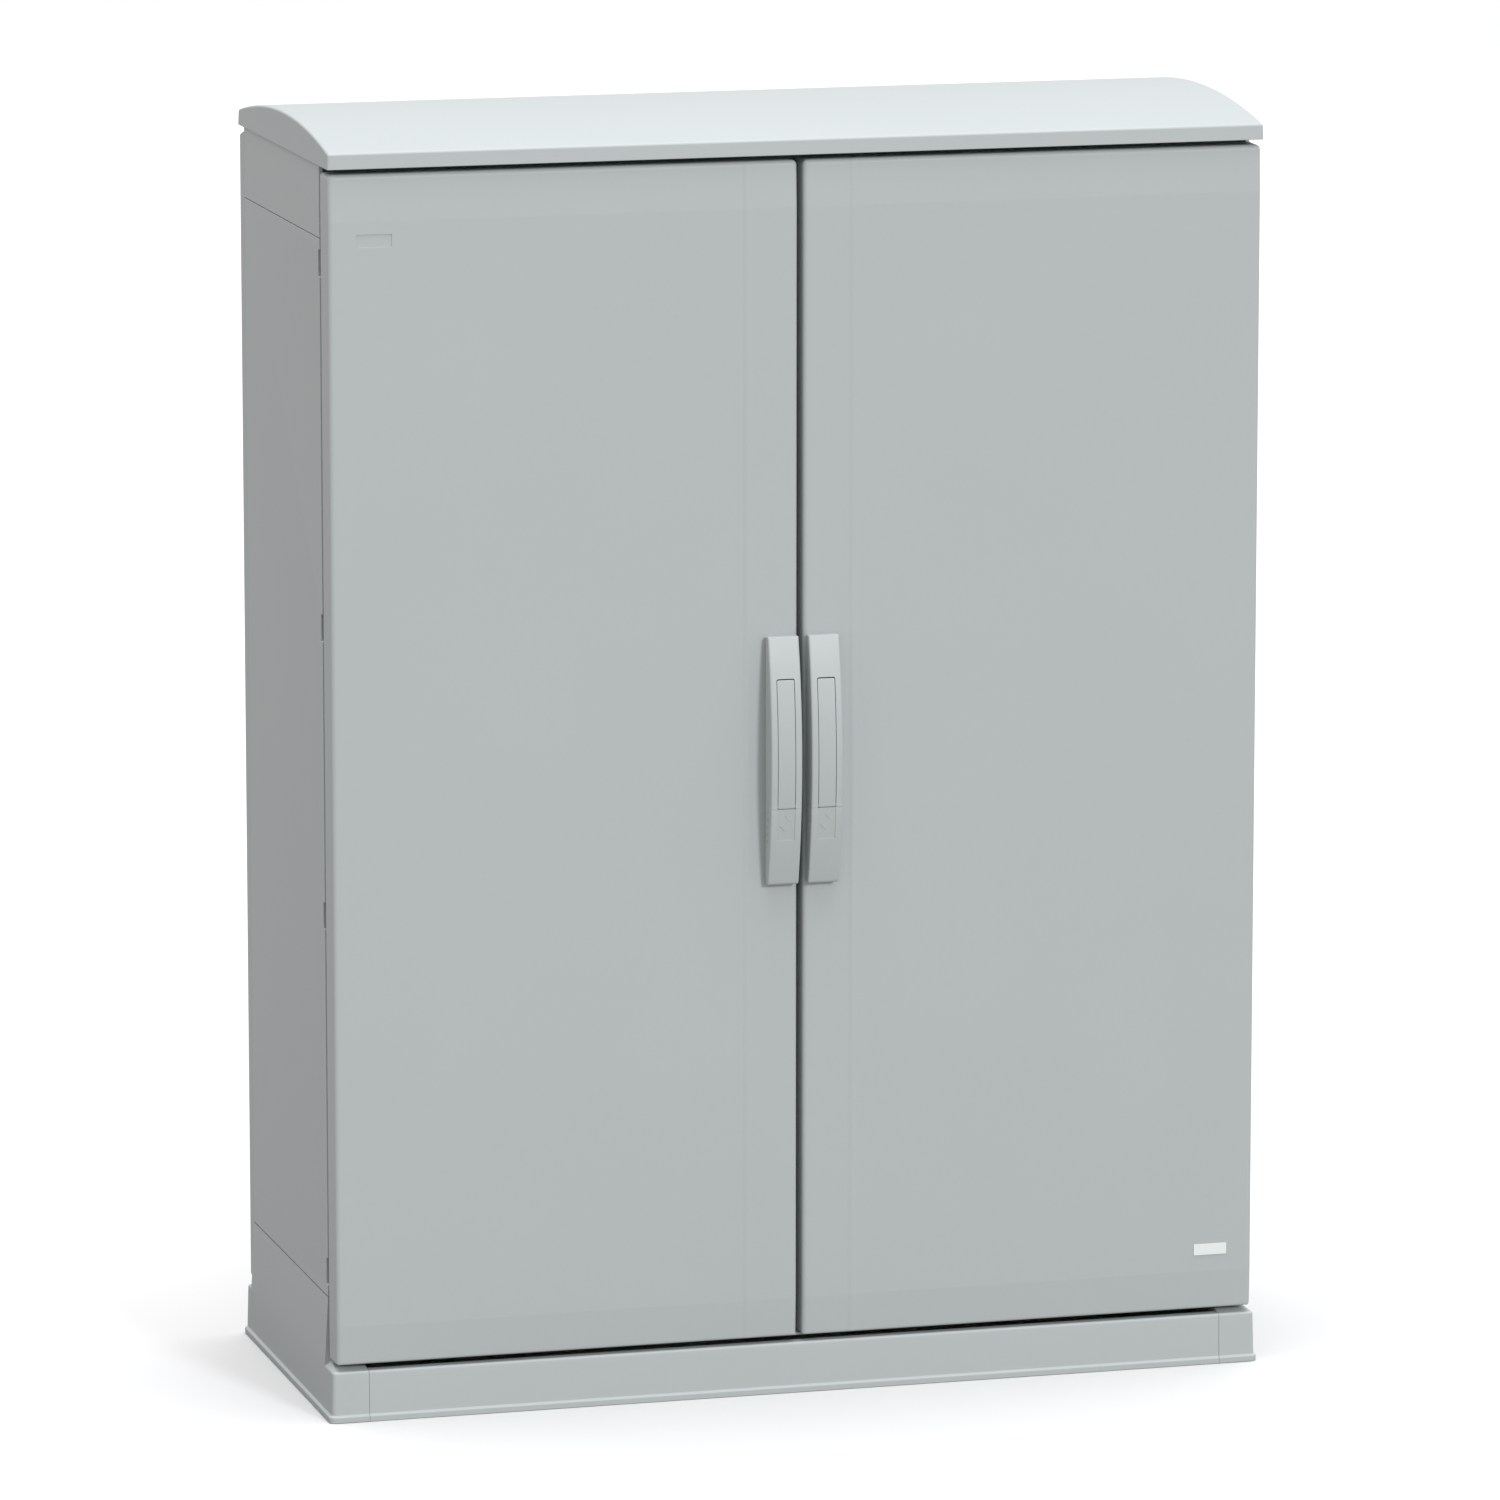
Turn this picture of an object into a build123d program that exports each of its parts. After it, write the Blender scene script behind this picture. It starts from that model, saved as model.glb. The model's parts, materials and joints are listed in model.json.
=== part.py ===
from build123d import *
import math
import os

# Two-door floor-standing switchboard cabinet in glass-fibre polyester.
# Origin: centre of the four floor bolts, on the floor. +Z is up, the doors face -Y, +X is to the right
# of someone facing the doors. Millimetres. Each right-hand piece is drawn at +X and the left-hand piece is
# its mirror image in the YZ plane.

# Overall sizes
HALF_WIDTH = 500.0
SEAM = 0.4
WALL = 4.5
INNER_HALF = HALF_WIDTH - WALL

# Planes from front to back
DOOR_FRONT = -207.0
DOOR_DEPTH = 35.0
DOOR_BACK = DOOR_FRONT + DOOR_DEPTH
WALL_FRONT = -166.0
LIP_FRONT = -192.0
FRAME_FRONT = -146.0
FRAME_BACK = -142.0
WALL_REAR = 186.5
COVER_REAR = 207.0
COVER_SLOPE_DEPTH = 13.0
COVER_SLOPE_HEIGHT = 4.5
COVER_EDGE_RADIUS = 1.2

# Levels from the floor up
FLANGE_TOP = 7.0
PLINTH_TOP = 54.0
DOOR_BOTTOM = 61.5
LOWER_SEAM = 126.5
UPPER_SEAM = 1237.5
ROOF_PLATE_BOTTOM = 1300.0
DOOR_TOP = 1306.5
CANOPY_BOTTOM = 1312.5

# Plinth
FLANGE_HALF_X = 508.0
FLANGE_HALF_Y = 207.5
PLINTH_HALF_X = 505.5
PLINTH_HALF_Y = 206.0
PLINTH_DRAFT = 1.6
PLINTH_CORNER = 5.0
PLINTH_TOP_RADIUS = 2.5
PLINTH_WALL = 4.0
POST_EDGE = 465.6
FOOT_INNER = 452.0
FOOT_HALF_Y = 178.0
FLANGE_CORNER = 5.0
FLANGE_EDGE_RADIUS = 1.6
FLOOR_BOLT_X = 478.0
FLOOR_BOLT_Y = 160.0
FLOOR_BOLT_RADIUS = 6.5
POST_CAP_TOP = 58.0
POST_CAP_BACK_Y = 166.0

# Canopy: a shallow arch over a straight edge
CANOPY_HALF_X = 501.3
CANOPY_HALF_Y = 210.0
CANOPY_EDGE = 16.5
CANOPY_RISE = 20.5
CANOPY_WALL = 4.0
CANOPY_DRAFT = 2.0
CANOPY_BOSS_X = 420.0
CANOPY_BOSS_Y = 110.0
CANOPY_BOSS_RADIUS = 9.0

# Doors
DOOR_GAP = 6.3
DOOR_SKIN = 3.5
RIM = 3.0
DOOR_CORNER = 6.0
DOOR_EDGE_RADIUS = 5.0
BAND_TOP = 44.0
BAND_BOTTOM = 41.0
BAND_SETBACK = 1.2
BAND_BLEND_RADIUS = 270.0
BEAD_X = 57.2
BEAD_WIDTH = 17.0
BEAD_HEIGHT = 0.3
SEAL_WIDTH = 12.0
SEAL_CLEARANCE = 0.3
LABEL_X = (433.2, 470.7)
LABEL_Z = (1231.3, 1245.0)
LABEL_DEPTH = 0.5
NAMEPLATE_X = (435.5, 472.0)
NAMEPLATE_Z = (120.2, 132.3)
NAMEPLATE_THICKNESS = 0.4

# Sealing lips of the frame, by the centre of each lip
LIP = 4.0
LIP_OUTER_X = 455.0
LIP_INNER_X = BEAD_X
LIP_TOP_Z = 1263.0
LIP_BOTTOM_Z = 100.0
THRESHOLD_BOTTOM = 58.4
THRESHOLD_TOP = 61.0

# Hinges
HINGE_X = 490.0
HINGE_Y = -152.5
HINGE_LEVELS = (153.2, 531.2, 833.4, 1211.5)
HINGE_SLOT_HEIGHT = 28.0
HINGE_SLOT_DEPTH = 6.0
HINGE_ARM_HEIGHT = 20.0
HINGE_ARM_THICKNESS = 4.4
HINGE_ARM_OFFSET = 15.0
HINGE_BOSS_RADIUS = 4.6
HINGE_PIN_RADIUS = 2.5
HINGE_RUNNING_CLEARANCE = 0.05

# Swing handle
HANDLE_X = 21.9
HANDLE_WIDTH = 33.5
HANDLE_BOTTOM = 547.3
HANDLE_TOP = 811.5
HANDLE_MIDDLE = (HANDLE_BOTTOM + HANDLE_TOP) / 2
HANDLE_END_Y = DOOR_FRONT - 12.0
HANDLE_CROWN_Y = DOOR_FRONT - 27.0
HANDLE_WALL = 3.0
HANDLE_EDGE_RADIUS = 2.4
BASE_THICKNESS = 3.0
BASE_FRONT = DOOR_FRONT - BASE_THICKNESS
HANDLE_BACK = BASE_FRONT - 0.3
HANDLE_SPLIT = 631.5
FLAP_HALF_WIDTH = 9.75
FLAP_TOP = 768.3
FLAP_THICKNESS = 2.2
FLAP_PIVOT_Z = 634.0
FLAP_PIVOT_DEPTH = 1.9
FLAP_PIN_RADIUS = 1.2
TURN_Z = 798.5
LIFT_Z = 805.5
LIFT_Y = -213.4
LIFT_PIN_RADIUS = 1.5
LIFT_RELIEF_ANGLE = 16.0
HEAD_RADIUS = 2.9
HEAD_HALF_WIDTH = 6.5
LOCK_Z = 706.0
LOCK_RADIUS = 8.0
GRIP_FIELD_BOTTOM = 597.6
GRIP_FIELD_DEPTH = 0.4
GRIP_RIBS = 5
GRIP_RIB_BOTTOM = 595.0
GRIP_RIB_PITCH = 8.0
GRIP_RIB_HEIGHT = 1.4
GRIP_RIB_PROUD = 0.5
RUNNING_CLEARANCE = 0.05

# Rod drive: a twelve-tooth pinion between two racks
MODULE = 1.5
TEETH = 12
PITCH_RADIUS = MODULE * TEETH / 2
PRESSURE_ANGLE = 25.0
ADDENDUM = 0.8 * MODULE
DEDENDUM = 1.1 * MODULE
BACKLASH = 0.3
PINION_FRONT = -199.0
PINION_BACK = -191.0
SPINDLE_RADIUS = 7.0
JOURNAL_RADIUS = 4.0
ROD_THICKNESS = 4.0
ROD_FRONT = -200.0
ROD_BACK = -190.0
ROD_END = 9.5
UPPER_ROD_TIP = 1270.0
LOWER_ROD_TIP = 95.0
UPPER_GUIDE_LEVELS = (900.0, 1075.0, 1240.0)
LOWER_GUIDE_LEVELS = (680.0, 400.0, 125.0)
KEEPER_UPPER_X = (10.5, 16.0)
KEEPER_LOWER_X = (30.0, 39.0)
CASE_HALF_HEIGHT = 32.0
CASE_WALL = 3.0
CASE_PLATE_FRONT = -184.0
CASE_PLATE_BACK = -181.0
CASE_INNER_X = 7.3
CASE_OUTER_X = 41.0
SLIDE_CLEARANCE = 0.3

# Inside
FLOOR_PLATE_BOTTOM = 92.0
FLOOR_PLATE_TOP = 96.0
GLAND_PLATE_TOP = 98.5
GLAND_FRONT = -60.0
GLAND_BACK = 100.0
GLAND_OVERLAP = 12.0
GLAND_SCREW_X = (-440.0, -150.0, 150.0, 440.0)
GLAND_SCREW_Y = (GLAND_FRONT - 6, GLAND_BACK + 6)
BACK_SCREW_LEVELS = (110.0, 490.0, 870.0, 1250.0)
PLATE_FRONT = 147.0
PLATE_BACK = 150.0
PLATE_HALF_X = 455.0
PLATE_BOTTOM = 150.0
PLATE_TOP = 1230.0
RAIL_BACK = 182.0
RAIL_HALF_X = 15.0
RAIL_X = 445.0
RAIL_WALL = 3.0
M6_RADIUS = 3.0
M6_HEAD_RADIUS = 5.0
M6_HEAD = 4.0


def block(x, y, z):
    """Box between the low and the high limit given for each axis."""
    size = [high - low for low, high in (x, y, z)]
    centre = [(low + high) / 2 for low, high in (x, y, z)]
    return Pos(*centre) * Box(*size)


def along_x(radius, x, y, z):
    """Cylinder along X between two limits, with its axis at y, z."""
    return Pos((x[0] + x[1]) / 2, y, z) * Rot(0, 90, 0) * Cylinder(radius, x[1] - x[0])


def along_y(radius, x, y, z):
    """Cylinder along Y between two limits, with its axis at x, z."""
    return Pos(x, (y[0] + y[1]) / 2, z) * Rot(90, 0, 0) * Cylinder(radius, y[1] - y[0])


def along_z(radius, x, y, z):
    """Cylinder along Z between two limits, with its axis at x, y."""
    return Pos(x, y, (z[0] + z[1]) / 2) * Cylinder(radius, z[1] - z[0])


def side_prism(points, x):
    """Outline in the YZ plane, drawn as (y, z), carried along X between two limits."""
    outline = make_face(Polyline(*points, close=True))
    return Pos(x[0], 0, 0) * extrude(Plane.YZ * outline, amount=x[1] - x[0])


def front_prism(points, y):
    """Outline in the XZ plane, drawn as (x, z), carried along Y between two limits."""
    outline = make_face(Polyline(*points, close=True))
    return extrude(Plane.XZ.offset(-y[0]) * outline, amount=y[0] - y[1])


def mirrored(shape):
    """The left-hand piece for a right-hand piece."""
    return mirror(shape, about=Plane.YZ)


def save(name, shape):
    """Write one named piece as parts/NAME.step."""
    export_step(shape, os.path.join("parts", name + ".step"))


# ---------------------------------------------------------------- plinth

def plinth_blank(inset, soften):
    """Block of the plinth's outer shape, sunk in by inset, with rounded corners and leaning walls."""
    outline = RectangleRounded(
        2 * (PLINTH_HALF_X - inset), 2 * (PLINTH_HALF_Y - inset), PLINTH_CORNER
    )
    solid = extrude(outline, amount=PLINTH_TOP, taper=PLINTH_DRAFT)
    if soften:
        solid = fillet(solid.faces().sort_by(Axis.Z)[-1].edges(), PLINTH_TOP_RADIUS)
    return solid


def plinth_wall(soften, x, y):
    """Part of the plinth's wall between the given limits."""
    shell = plinth_blank(0, soften) - plinth_blank(PLINTH_WALL, False)
    return shell & block(x, y, (0, PLINTH_TOP))


def plinth_side():
    """Plinth cheek with its foot, its two corner posts and the lowest segment of the side wall."""
    shoulder_x = PLINTH_HALF_X - PLINTH_TOP * math.tan(math.radians(PLINTH_DRAFT))
    x = (POST_EDGE, FLANGE_HALF_X)
    cheek = plinth_wall(False, x, (WALL_FRONT, WALL_REAR))
    foot = block(x, (-FLANGE_HALF_Y, FLANGE_HALF_Y), (0, FLANGE_TOP))
    foot = fillet(foot.edges().filter_by(Axis.Z).sort_by(Axis.X)[-2:], FLANGE_CORNER)
    outer_top_edges = foot.faces().sort_by(Axis.Z)[-1].edges().sort_by(Axis.X)[1:]
    foot = fillet(outer_top_edges, FLANGE_EDGE_RADIUS)
    foot += block((FOOT_INNER, POST_EDGE), (-FOOT_HALF_Y, FOOT_HALF_Y), (0, FLANGE_TOP))
    wall = front_prism(
        [
            (INNER_HALF - 0.5, PLINTH_TOP - 6),
            (shoulder_x - 1, PLINTH_TOP - 6),
            (shoulder_x, PLINTH_TOP),
            (HALF_WIDTH, LOWER_SEAM - SEAM),
            (INNER_HALF, LOWER_SEAM - SEAM),
            (INNER_HALF, PLINTH_TOP),
        ],
        (WALL_FRONT, WALL_REAR),
    )
    shape = cheek + foot + wall
    shape += plinth_wall(True, x, (-FLANGE_HALF_Y, WALL_FRONT))
    shape += plinth_wall(True, x, (WALL_REAR, FLANGE_HALF_Y))
    for end in (-1, 1):
        shape += corner_post(end)
    for end in (-1, 1):
        shape -= along_z(FLOOR_BOLT_RADIUS, FLOOR_BOLT_X, end * FLOOR_BOLT_Y, (-1, FLANGE_TOP + 1))
    return shape


def corner_post(end):
    """Inside of a corner post: return for the panel screws, and a cap that rises to the body."""
    return_y = sorted((end * (PLINTH_HALF_Y - 3.8), end * (PLINTH_HALF_Y - 25)))
    ret = block((POST_EDGE, POST_EDGE + PLINTH_WALL), return_y, (0, PLINTH_TOP - 2))
    ret -= along_x(M6_RADIUS, (POST_EDGE - 1, POST_EDGE + 5), end * (PLINTH_HALF_Y - 15), 30)
    cap = side_prism(
        [
            (end * (PLINTH_HALF_Y - 3), PLINTH_TOP - 6),
            (end * (PLINTH_HALF_Y - 4), PLINTH_TOP - 0.2),
            (end * (POST_CAP_BACK_Y + 10), POST_CAP_TOP),
            (end * POST_CAP_BACK_Y, POST_CAP_TOP),
            (end * POST_CAP_BACK_Y, POST_CAP_TOP - 4),
            (end * (POST_CAP_BACK_Y + 10), POST_CAP_TOP - 4),
            (end * (PLINTH_HALF_Y - 7), PLINTH_TOP - 6),
        ],
        (POST_EDGE, HALF_WIDTH + 4),
    )
    hip = front_prism(
        [
            (POST_EDGE - 1, 0),
            (HALF_WIDTH + 3, 0),
            (HALF_WIDTH + 3, PLINTH_TOP - 2.5),
            (HALF_WIDTH - 3, POST_CAP_TOP + 0.5),
            (POST_EDGE - 1, POST_CAP_TOP + 0.5),
        ],
        (-PLINTH_HALF_Y, PLINTH_HALF_Y),
    )
    return ret + (cap & hip)


def plinth_panel():
    """Removable plinth panel with its foot flange, top lip and screw returns; the front one."""
    half = POST_EDGE - SEAM
    front = -PLINTH_HALF_Y
    back = front + PLINTH_WALL
    face = plinth_wall(False, (-half, half), (front, front + 2 * PLINTH_WALL))
    flange = block((-half, half), (-FLANGE_HALF_Y, back), (0, FLANGE_TOP))
    front_top_edge = flange.edges().filter_by(Axis.X).group_by(Axis.Z)[-1].sort_by(Axis.Y)[0]
    flange = fillet(front_top_edge, FLANGE_EDGE_RADIUS)
    lip = block((-half, half), (front + 3, front + 14), (PLINTH_TOP - PLINTH_WALL, PLINTH_TOP))
    shape = face + flange + lip
    top_front = shape.edges().filter_by(Axis.X).group_by(Axis.Z)[-1].sort_by(Axis.Y)[0]
    shape = fillet(top_front, PLINTH_TOP_RADIUS)
    for end in (-1, 1):
        x = sorted((end * half, end * (half - PLINTH_WALL)))
        shape += block(x, (back - 0.2, front + 24), (0, PLINTH_TOP - PLINTH_WALL))
        shape -= along_x(M6_RADIUS, (x[0] - 1, x[1] + 1), front + 15, 30)
    return shape


def screw_z(x, y, top, length):
    """Hexagon-head M6 screw pointing down from a seat at the given level."""
    head = Pos(x, y, top) * extrude(RegularPolygon(M6_HEAD_RADIUS, 6), amount=M6_HEAD)
    return head + along_z(M6_RADIUS, x, y, (top - length, top))


def base_screws():
    """Screws of the plinth panels and of the gland plate."""
    screws = []
    for end_y in (-1, 1):
        for end_x in (-1, 1):
            y = end_y * (PLINTH_HALF_Y - 15)
            seat = end_x * (POST_EDGE - SEAM - PLINTH_WALL)
            turn = Rot(0, -90 * end_x, 0)
            screws.append(Pos(seat, y, 30) * turn * screw_z(0, 0, 0, 12))
    for x in GLAND_SCREW_X:
        for y in GLAND_SCREW_Y:
            screws.append(screw_z(x, y, GLAND_PLATE_TOP, 10))
    return Compound(children=screws)


# ---------------------------------------------------------------- walls, roof and canopy

def side_wall(bottom, top):
    """Side wall between two levels, with a slot in its front edge at each hinge."""
    shape = block((INNER_HALF, HALF_WIDTH), (WALL_FRONT, WALL_REAR), (bottom, top))
    for level in HINGE_LEVELS:
        z = (level - HINGE_SLOT_HEIGHT / 2, level + HINGE_SLOT_HEIGHT / 2)
        if bottom < z[0] and z[1] < top:
            slot = block(
                (INNER_HALF - 1, HALF_WIDTH + 1), (WALL_FRONT - 1, WALL_FRONT + HINGE_SLOT_DEPTH), z
            )
            shape -= slot
    return shape


def back_cover():
    """Removable back: a shallow pan with sloping top and bottom edges and eight screw holes."""
    front = WALL_REAR + SEAM
    pan = side_prism(
        [
            (front, DOOR_BOTTOM),
            (COVER_REAR - COVER_SLOPE_DEPTH, DOOR_BOTTOM),
            (COVER_REAR, DOOR_BOTTOM + COVER_SLOPE_HEIGHT),
            (COVER_REAR, DOOR_TOP - COVER_SLOPE_HEIGHT),
            (COVER_REAR - COVER_SLOPE_DEPTH, DOOR_TOP),
            (front, DOOR_TOP),
        ],
        (-HALF_WIDTH, HALF_WIDTH),
    )
    pan = fillet(pan.faces().sort_by(Axis.Y)[-1].edges(), COVER_EDGE_RADIUS)
    edge = COVER_SLOPE_HEIGHT + WALL
    hollow = block(
        (-INNER_HALF, INNER_HALF),
        (front - 1, COVER_REAR - WALL),
        (DOOR_BOTTOM + edge, DOOR_TOP - edge),
    )
    shape = pan - hollow
    for x, z in back_screw_places():
        shape -= along_y(M6_RADIUS, x, (WALL_REAR, COVER_REAR + 1), z)
    return shape


def back_screw_places():
    """Centres of the back cover's screws, as (x, z)."""
    return [(x, z) for x in (-RAIL_X, RAIL_X) for z in BACK_SCREW_LEVELS]


def back_screws():
    """Countersunk-look round-head screws that hold the back cover to the rear rails."""
    screws = []
    for x, z in back_screw_places():
        head = along_y(7.0, x, (COVER_REAR, COVER_REAR + 2.2), z)
        head = fillet(head.edges().sort_by(Axis.Y)[-1], 1.2)
        screws.append(head + along_y(M6_RADIUS, x, (RAIL_BACK - RAIL_WALL, COVER_REAR), z))
    return Compound(children=screws)


def arch(half_x, half_y, bottom, edge, rise, inset):
    """Block with an arched top, its ends and edges leaning in by inset over the edge's height."""
    eaves = bottom + edge
    outline = make_face(
        Polyline(
            (-half_y + inset, eaves), (-half_y, bottom), (half_y, bottom), (half_y - inset, eaves)
        )
        + ThreePointArc((half_y - inset, eaves), (0, eaves + rise), (-half_y + inset, eaves))
    )
    return Pos(-half_x, 0, 0) * extrude(Plane.YZ * outline, amount=2 * half_x)


def canopy():
    """Arched rain canopy: a thin shell, with four bosses that stand on the roof plate."""
    outer = arch(CANOPY_HALF_X, CANOPY_HALF_Y, CANOPY_BOTTOM, CANOPY_EDGE, CANOPY_RISE, CANOPY_DRAFT)
    for end in (-1, 1):
        lean = front_prism(
            [
                (end * CANOPY_HALF_X, CANOPY_BOTTOM),
                (end * (CANOPY_HALF_X + 10), CANOPY_BOTTOM),
                (end * (CANOPY_HALF_X + 10), CANOPY_BOTTOM + 50),
                (end * (CANOPY_HALF_X - 2 * CANOPY_DRAFT), CANOPY_BOTTOM + 50),
            ],
            (-CANOPY_HALF_Y - 1, CANOPY_HALF_Y + 1),
        )
        outer -= lean
    soft = [edge for edge in outer.edges() if edge.center().Z > CANOPY_BOTTOM + CANOPY_EDGE - 0.5]
    outer = fillet(soft, 2.5)
    inner = arch(
        CANOPY_HALF_X - CANOPY_WALL - CANOPY_DRAFT,
        CANOPY_HALF_Y - CANOPY_WALL,
        CANOPY_BOTTOM - 1,
        CANOPY_EDGE - CANOPY_WALL + 2,
        CANOPY_RISE,
        CANOPY_DRAFT,
    )
    shape = outer - inner
    boss_bottom = ROOF_PLATE_BOTTOM + 4
    for x in (-CANOPY_BOSS_X, CANOPY_BOSS_X):
        for y in (-CANOPY_BOSS_Y, CANOPY_BOSS_Y):
            boss = along_z(CANOPY_BOSS_RADIUS, x, y, (boss_bottom, CANOPY_BOTTOM + CANOPY_EDGE + 13))
            shape += boss - along_z(M6_RADIUS, x, y, (boss_bottom - 1, boss_bottom + 20))
    return shape


def roof_plate():
    """Flat top of the enclosure, under the canopy."""
    shape = block(
        (-INNER_HALF, INNER_HALF), (FRAME_BACK, WALL_REAR), (ROOF_PLATE_BOTTOM, ROOF_PLATE_BOTTOM + 4)
    )
    for x in (-CANOPY_BOSS_X, CANOPY_BOSS_X):
        for y in (-CANOPY_BOSS_Y, CANOPY_BOSS_Y):
            shape -= along_z(M6_RADIUS, x, y, (ROOF_PLATE_BOTTOM - 1, ROOF_PLATE_BOTTOM + 5))
    return shape


def canopy_screws():
    """Screws that hold the canopy's bosses down, driven from inside the cabinet."""
    screws = []
    for x in (-CANOPY_BOSS_X, CANOPY_BOSS_X):
        for y in (-CANOPY_BOSS_Y, CANOPY_BOSS_Y):
            screws.append(Pos(x, y, ROOF_PLATE_BOTTOM) * Rot(180, 0, 0) * screw_z(0, 0, 0, 20))
    return Compound(children=screws)


# ---------------------------------------------------------------- front frame

def lip_y():
    """Front-to-back limits of a sealing lip, down to the frame's back face."""
    return (LIP_FRONT, FRAME_BACK)


def door_stile():
    """Frame strip inside the side wall, with its forward sealing lip; the right one."""
    web_z = (THRESHOLD_TOP, LIP_TOP_Z + LIP / 2)
    web = block((LIP_OUTER_X + LIP / 2, INNER_HALF), (FRAME_FRONT, FRAME_BACK), web_z)
    lip = block(
        (LIP_OUTER_X - LIP / 2, LIP_OUTER_X + LIP / 2),
        lip_y(),
        (LIP_BOTTOM_Z + LIP / 2, LIP_TOP_Z - LIP / 2),
    )
    return web + lip


def cross_rail(web_z, lip_z):
    """Top or bottom frame rail with one sealing lip for each door."""
    half = LIP_OUTER_X + LIP / 2 if web_z[0] < lip_z else INNER_HALF
    shape = block((-half, half), (FRAME_FRONT, FRAME_BACK), web_z)
    for end in (-1, 1):
        x = sorted((end * (LIP_INNER_X - LIP / 2), end * (LIP_OUTER_X + LIP / 2)))
        shape += block(x, lip_y(), (lip_z - LIP / 2, lip_z + LIP / 2))
    return shape


def bottom_rail():
    """Bottom frame rail, with a threshold that closes the space between the frame and the plinth."""
    half = INNER_HALF - SEAM
    threshold = block((-half, half), (LIP_FRONT, FRAME_BACK), (THRESHOLD_BOTTOM, THRESHOLD_TOP))
    return cross_rail((THRESHOLD_BOTTOM, LIP_BOTTOM_Z - LIP / 2), LIP_BOTTOM_Z) + threshold


def central_upright():
    """Fixed upright between the doors, with a sealing lip along each side."""
    z = (LIP_BOTTOM_Z + LIP / 2, LIP_TOP_Z - LIP / 2)
    half = LIP_INNER_X + LIP / 2
    shape = block((-half, half), (FRAME_FRONT, FRAME_BACK), z)
    for end in (-1, 1):
        x = sorted((end * (LIP_INNER_X - LIP / 2), end * half))
        shape += block(x, lip_y(), z)
    return shape


def keeper(x, z):
    """Keeper block for one rod end, on a foot against the frame."""
    foot = block((x[0] - 3, x[1] + 3), (FRAME_FRONT - 4, FRAME_FRONT), z)
    return foot + block(x, (ROD_FRONT + 4, FRAME_FRONT), z)


def rod_keepers():
    """Two keepers at the top and two at the bottom, one for each rod."""
    upper = keeper(KEEPER_UPPER_X, (UPPER_ROD_TIP + 1, UPPER_ROD_TIP + 20))
    lower = keeper(KEEPER_LOWER_X, (LOWER_ROD_TIP - 21, LOWER_ROD_TIP - 1))
    return Compound(children=[upper, lower, mirrored(upper), mirrored(lower)])


# ---------------------------------------------------------------- hinges

def hinge_bracket(level):
    """Two ears on a plate, one above and one below the hinge arm."""
    reach = HINGE_ARM_HEIGHT / 2 + SLIDE_CLEARANCE
    outer = HINGE_SLOT_HEIGHT / 2 - 0.2
    x = (HINGE_X - 7, HINGE_X + HINGE_BOSS_RADIUS + 0.3)
    plate = block((HINGE_X - 18, x[1]), (FRAME_FRONT - 1.5, FRAME_FRONT), (level - 22, level + 22))
    shape = plate
    for z in ((level + reach, level + outer), (level - outer, level - reach)):
        ear = block(x, (HINGE_Y, FRAME_FRONT - 1), z) + along_z(HINGE_BOSS_RADIUS, HINGE_X, HINGE_Y, z)
        shape += ear
    pin_hole = along_z(HINGE_PIN_RADIUS, HINGE_X, HINGE_Y, (level - 15, level + 15))
    return shape - pin_hole


def hinge_brackets():
    """All eight brackets, fixed to the door stiles."""
    right = [hinge_bracket(level) for level in HINGE_LEVELS]
    return Compound(children=right + [mirrored(bracket) for bracket in right])


def hinge_pins():
    """One pin through each bracket, with a small head on top."""
    pins = []
    for level in HINGE_LEVELS:
        top = level + HINGE_SLOT_HEIGHT / 2 - 0.2
        pin = along_z(HINGE_PIN_RADIUS, HINGE_X, HINGE_Y, (2 * level - top, top))
        pins.append(pin + along_z(HINGE_PIN_RADIUS + 1, HINGE_X, HINGE_Y, (top, top + 1.5)))
    return Compound(children=pins + [mirrored(pin) for pin in pins])


def hinge_arm(level):
    """Swan-neck arm from the pin round the front edge of the side wall to the door skin."""
    foot_y = (DOOR_FRONT + DOOR_SKIN, DOOR_FRONT + DOOR_SKIN + 3.5)
    neck_x = HINGE_X - HINGE_ARM_OFFSET
    neck = trace(
        Polyline(
            (HINGE_X, HINGE_Y),
            (neck_x + 2.5, HINGE_Y - 0.5),
            (neck_x, HINGE_Y - 7.5),
            (neck_x, foot_y[0] + 2.3),
        ),
        HINGE_ARM_THICKNESS,
    )
    outline = neck + Pos(HINGE_X, HINGE_Y) * Circle(HINGE_BOSS_RADIUS)
    bottom = level - HINGE_ARM_HEIGHT / 2
    arm = Pos(0, 0, bottom) * extrude(outline, amount=HINGE_ARM_HEIGHT)
    foot = block((HINGE_X - 27, HINGE_X - 6), foot_y, (bottom - 6, bottom + HINGE_ARM_HEIGHT + 6))
    bore = along_z(
        HINGE_PIN_RADIUS + HINGE_RUNNING_CLEARANCE, HINGE_X, HINGE_Y, (bottom - 1, bottom + 21)
    )
    return arm + foot - bore


def hinge_arms():
    """The four arms of one door."""
    return Compound(children=[hinge_arm(level) for level in HINGE_LEVELS])


# ---------------------------------------------------------------- doors

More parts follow.
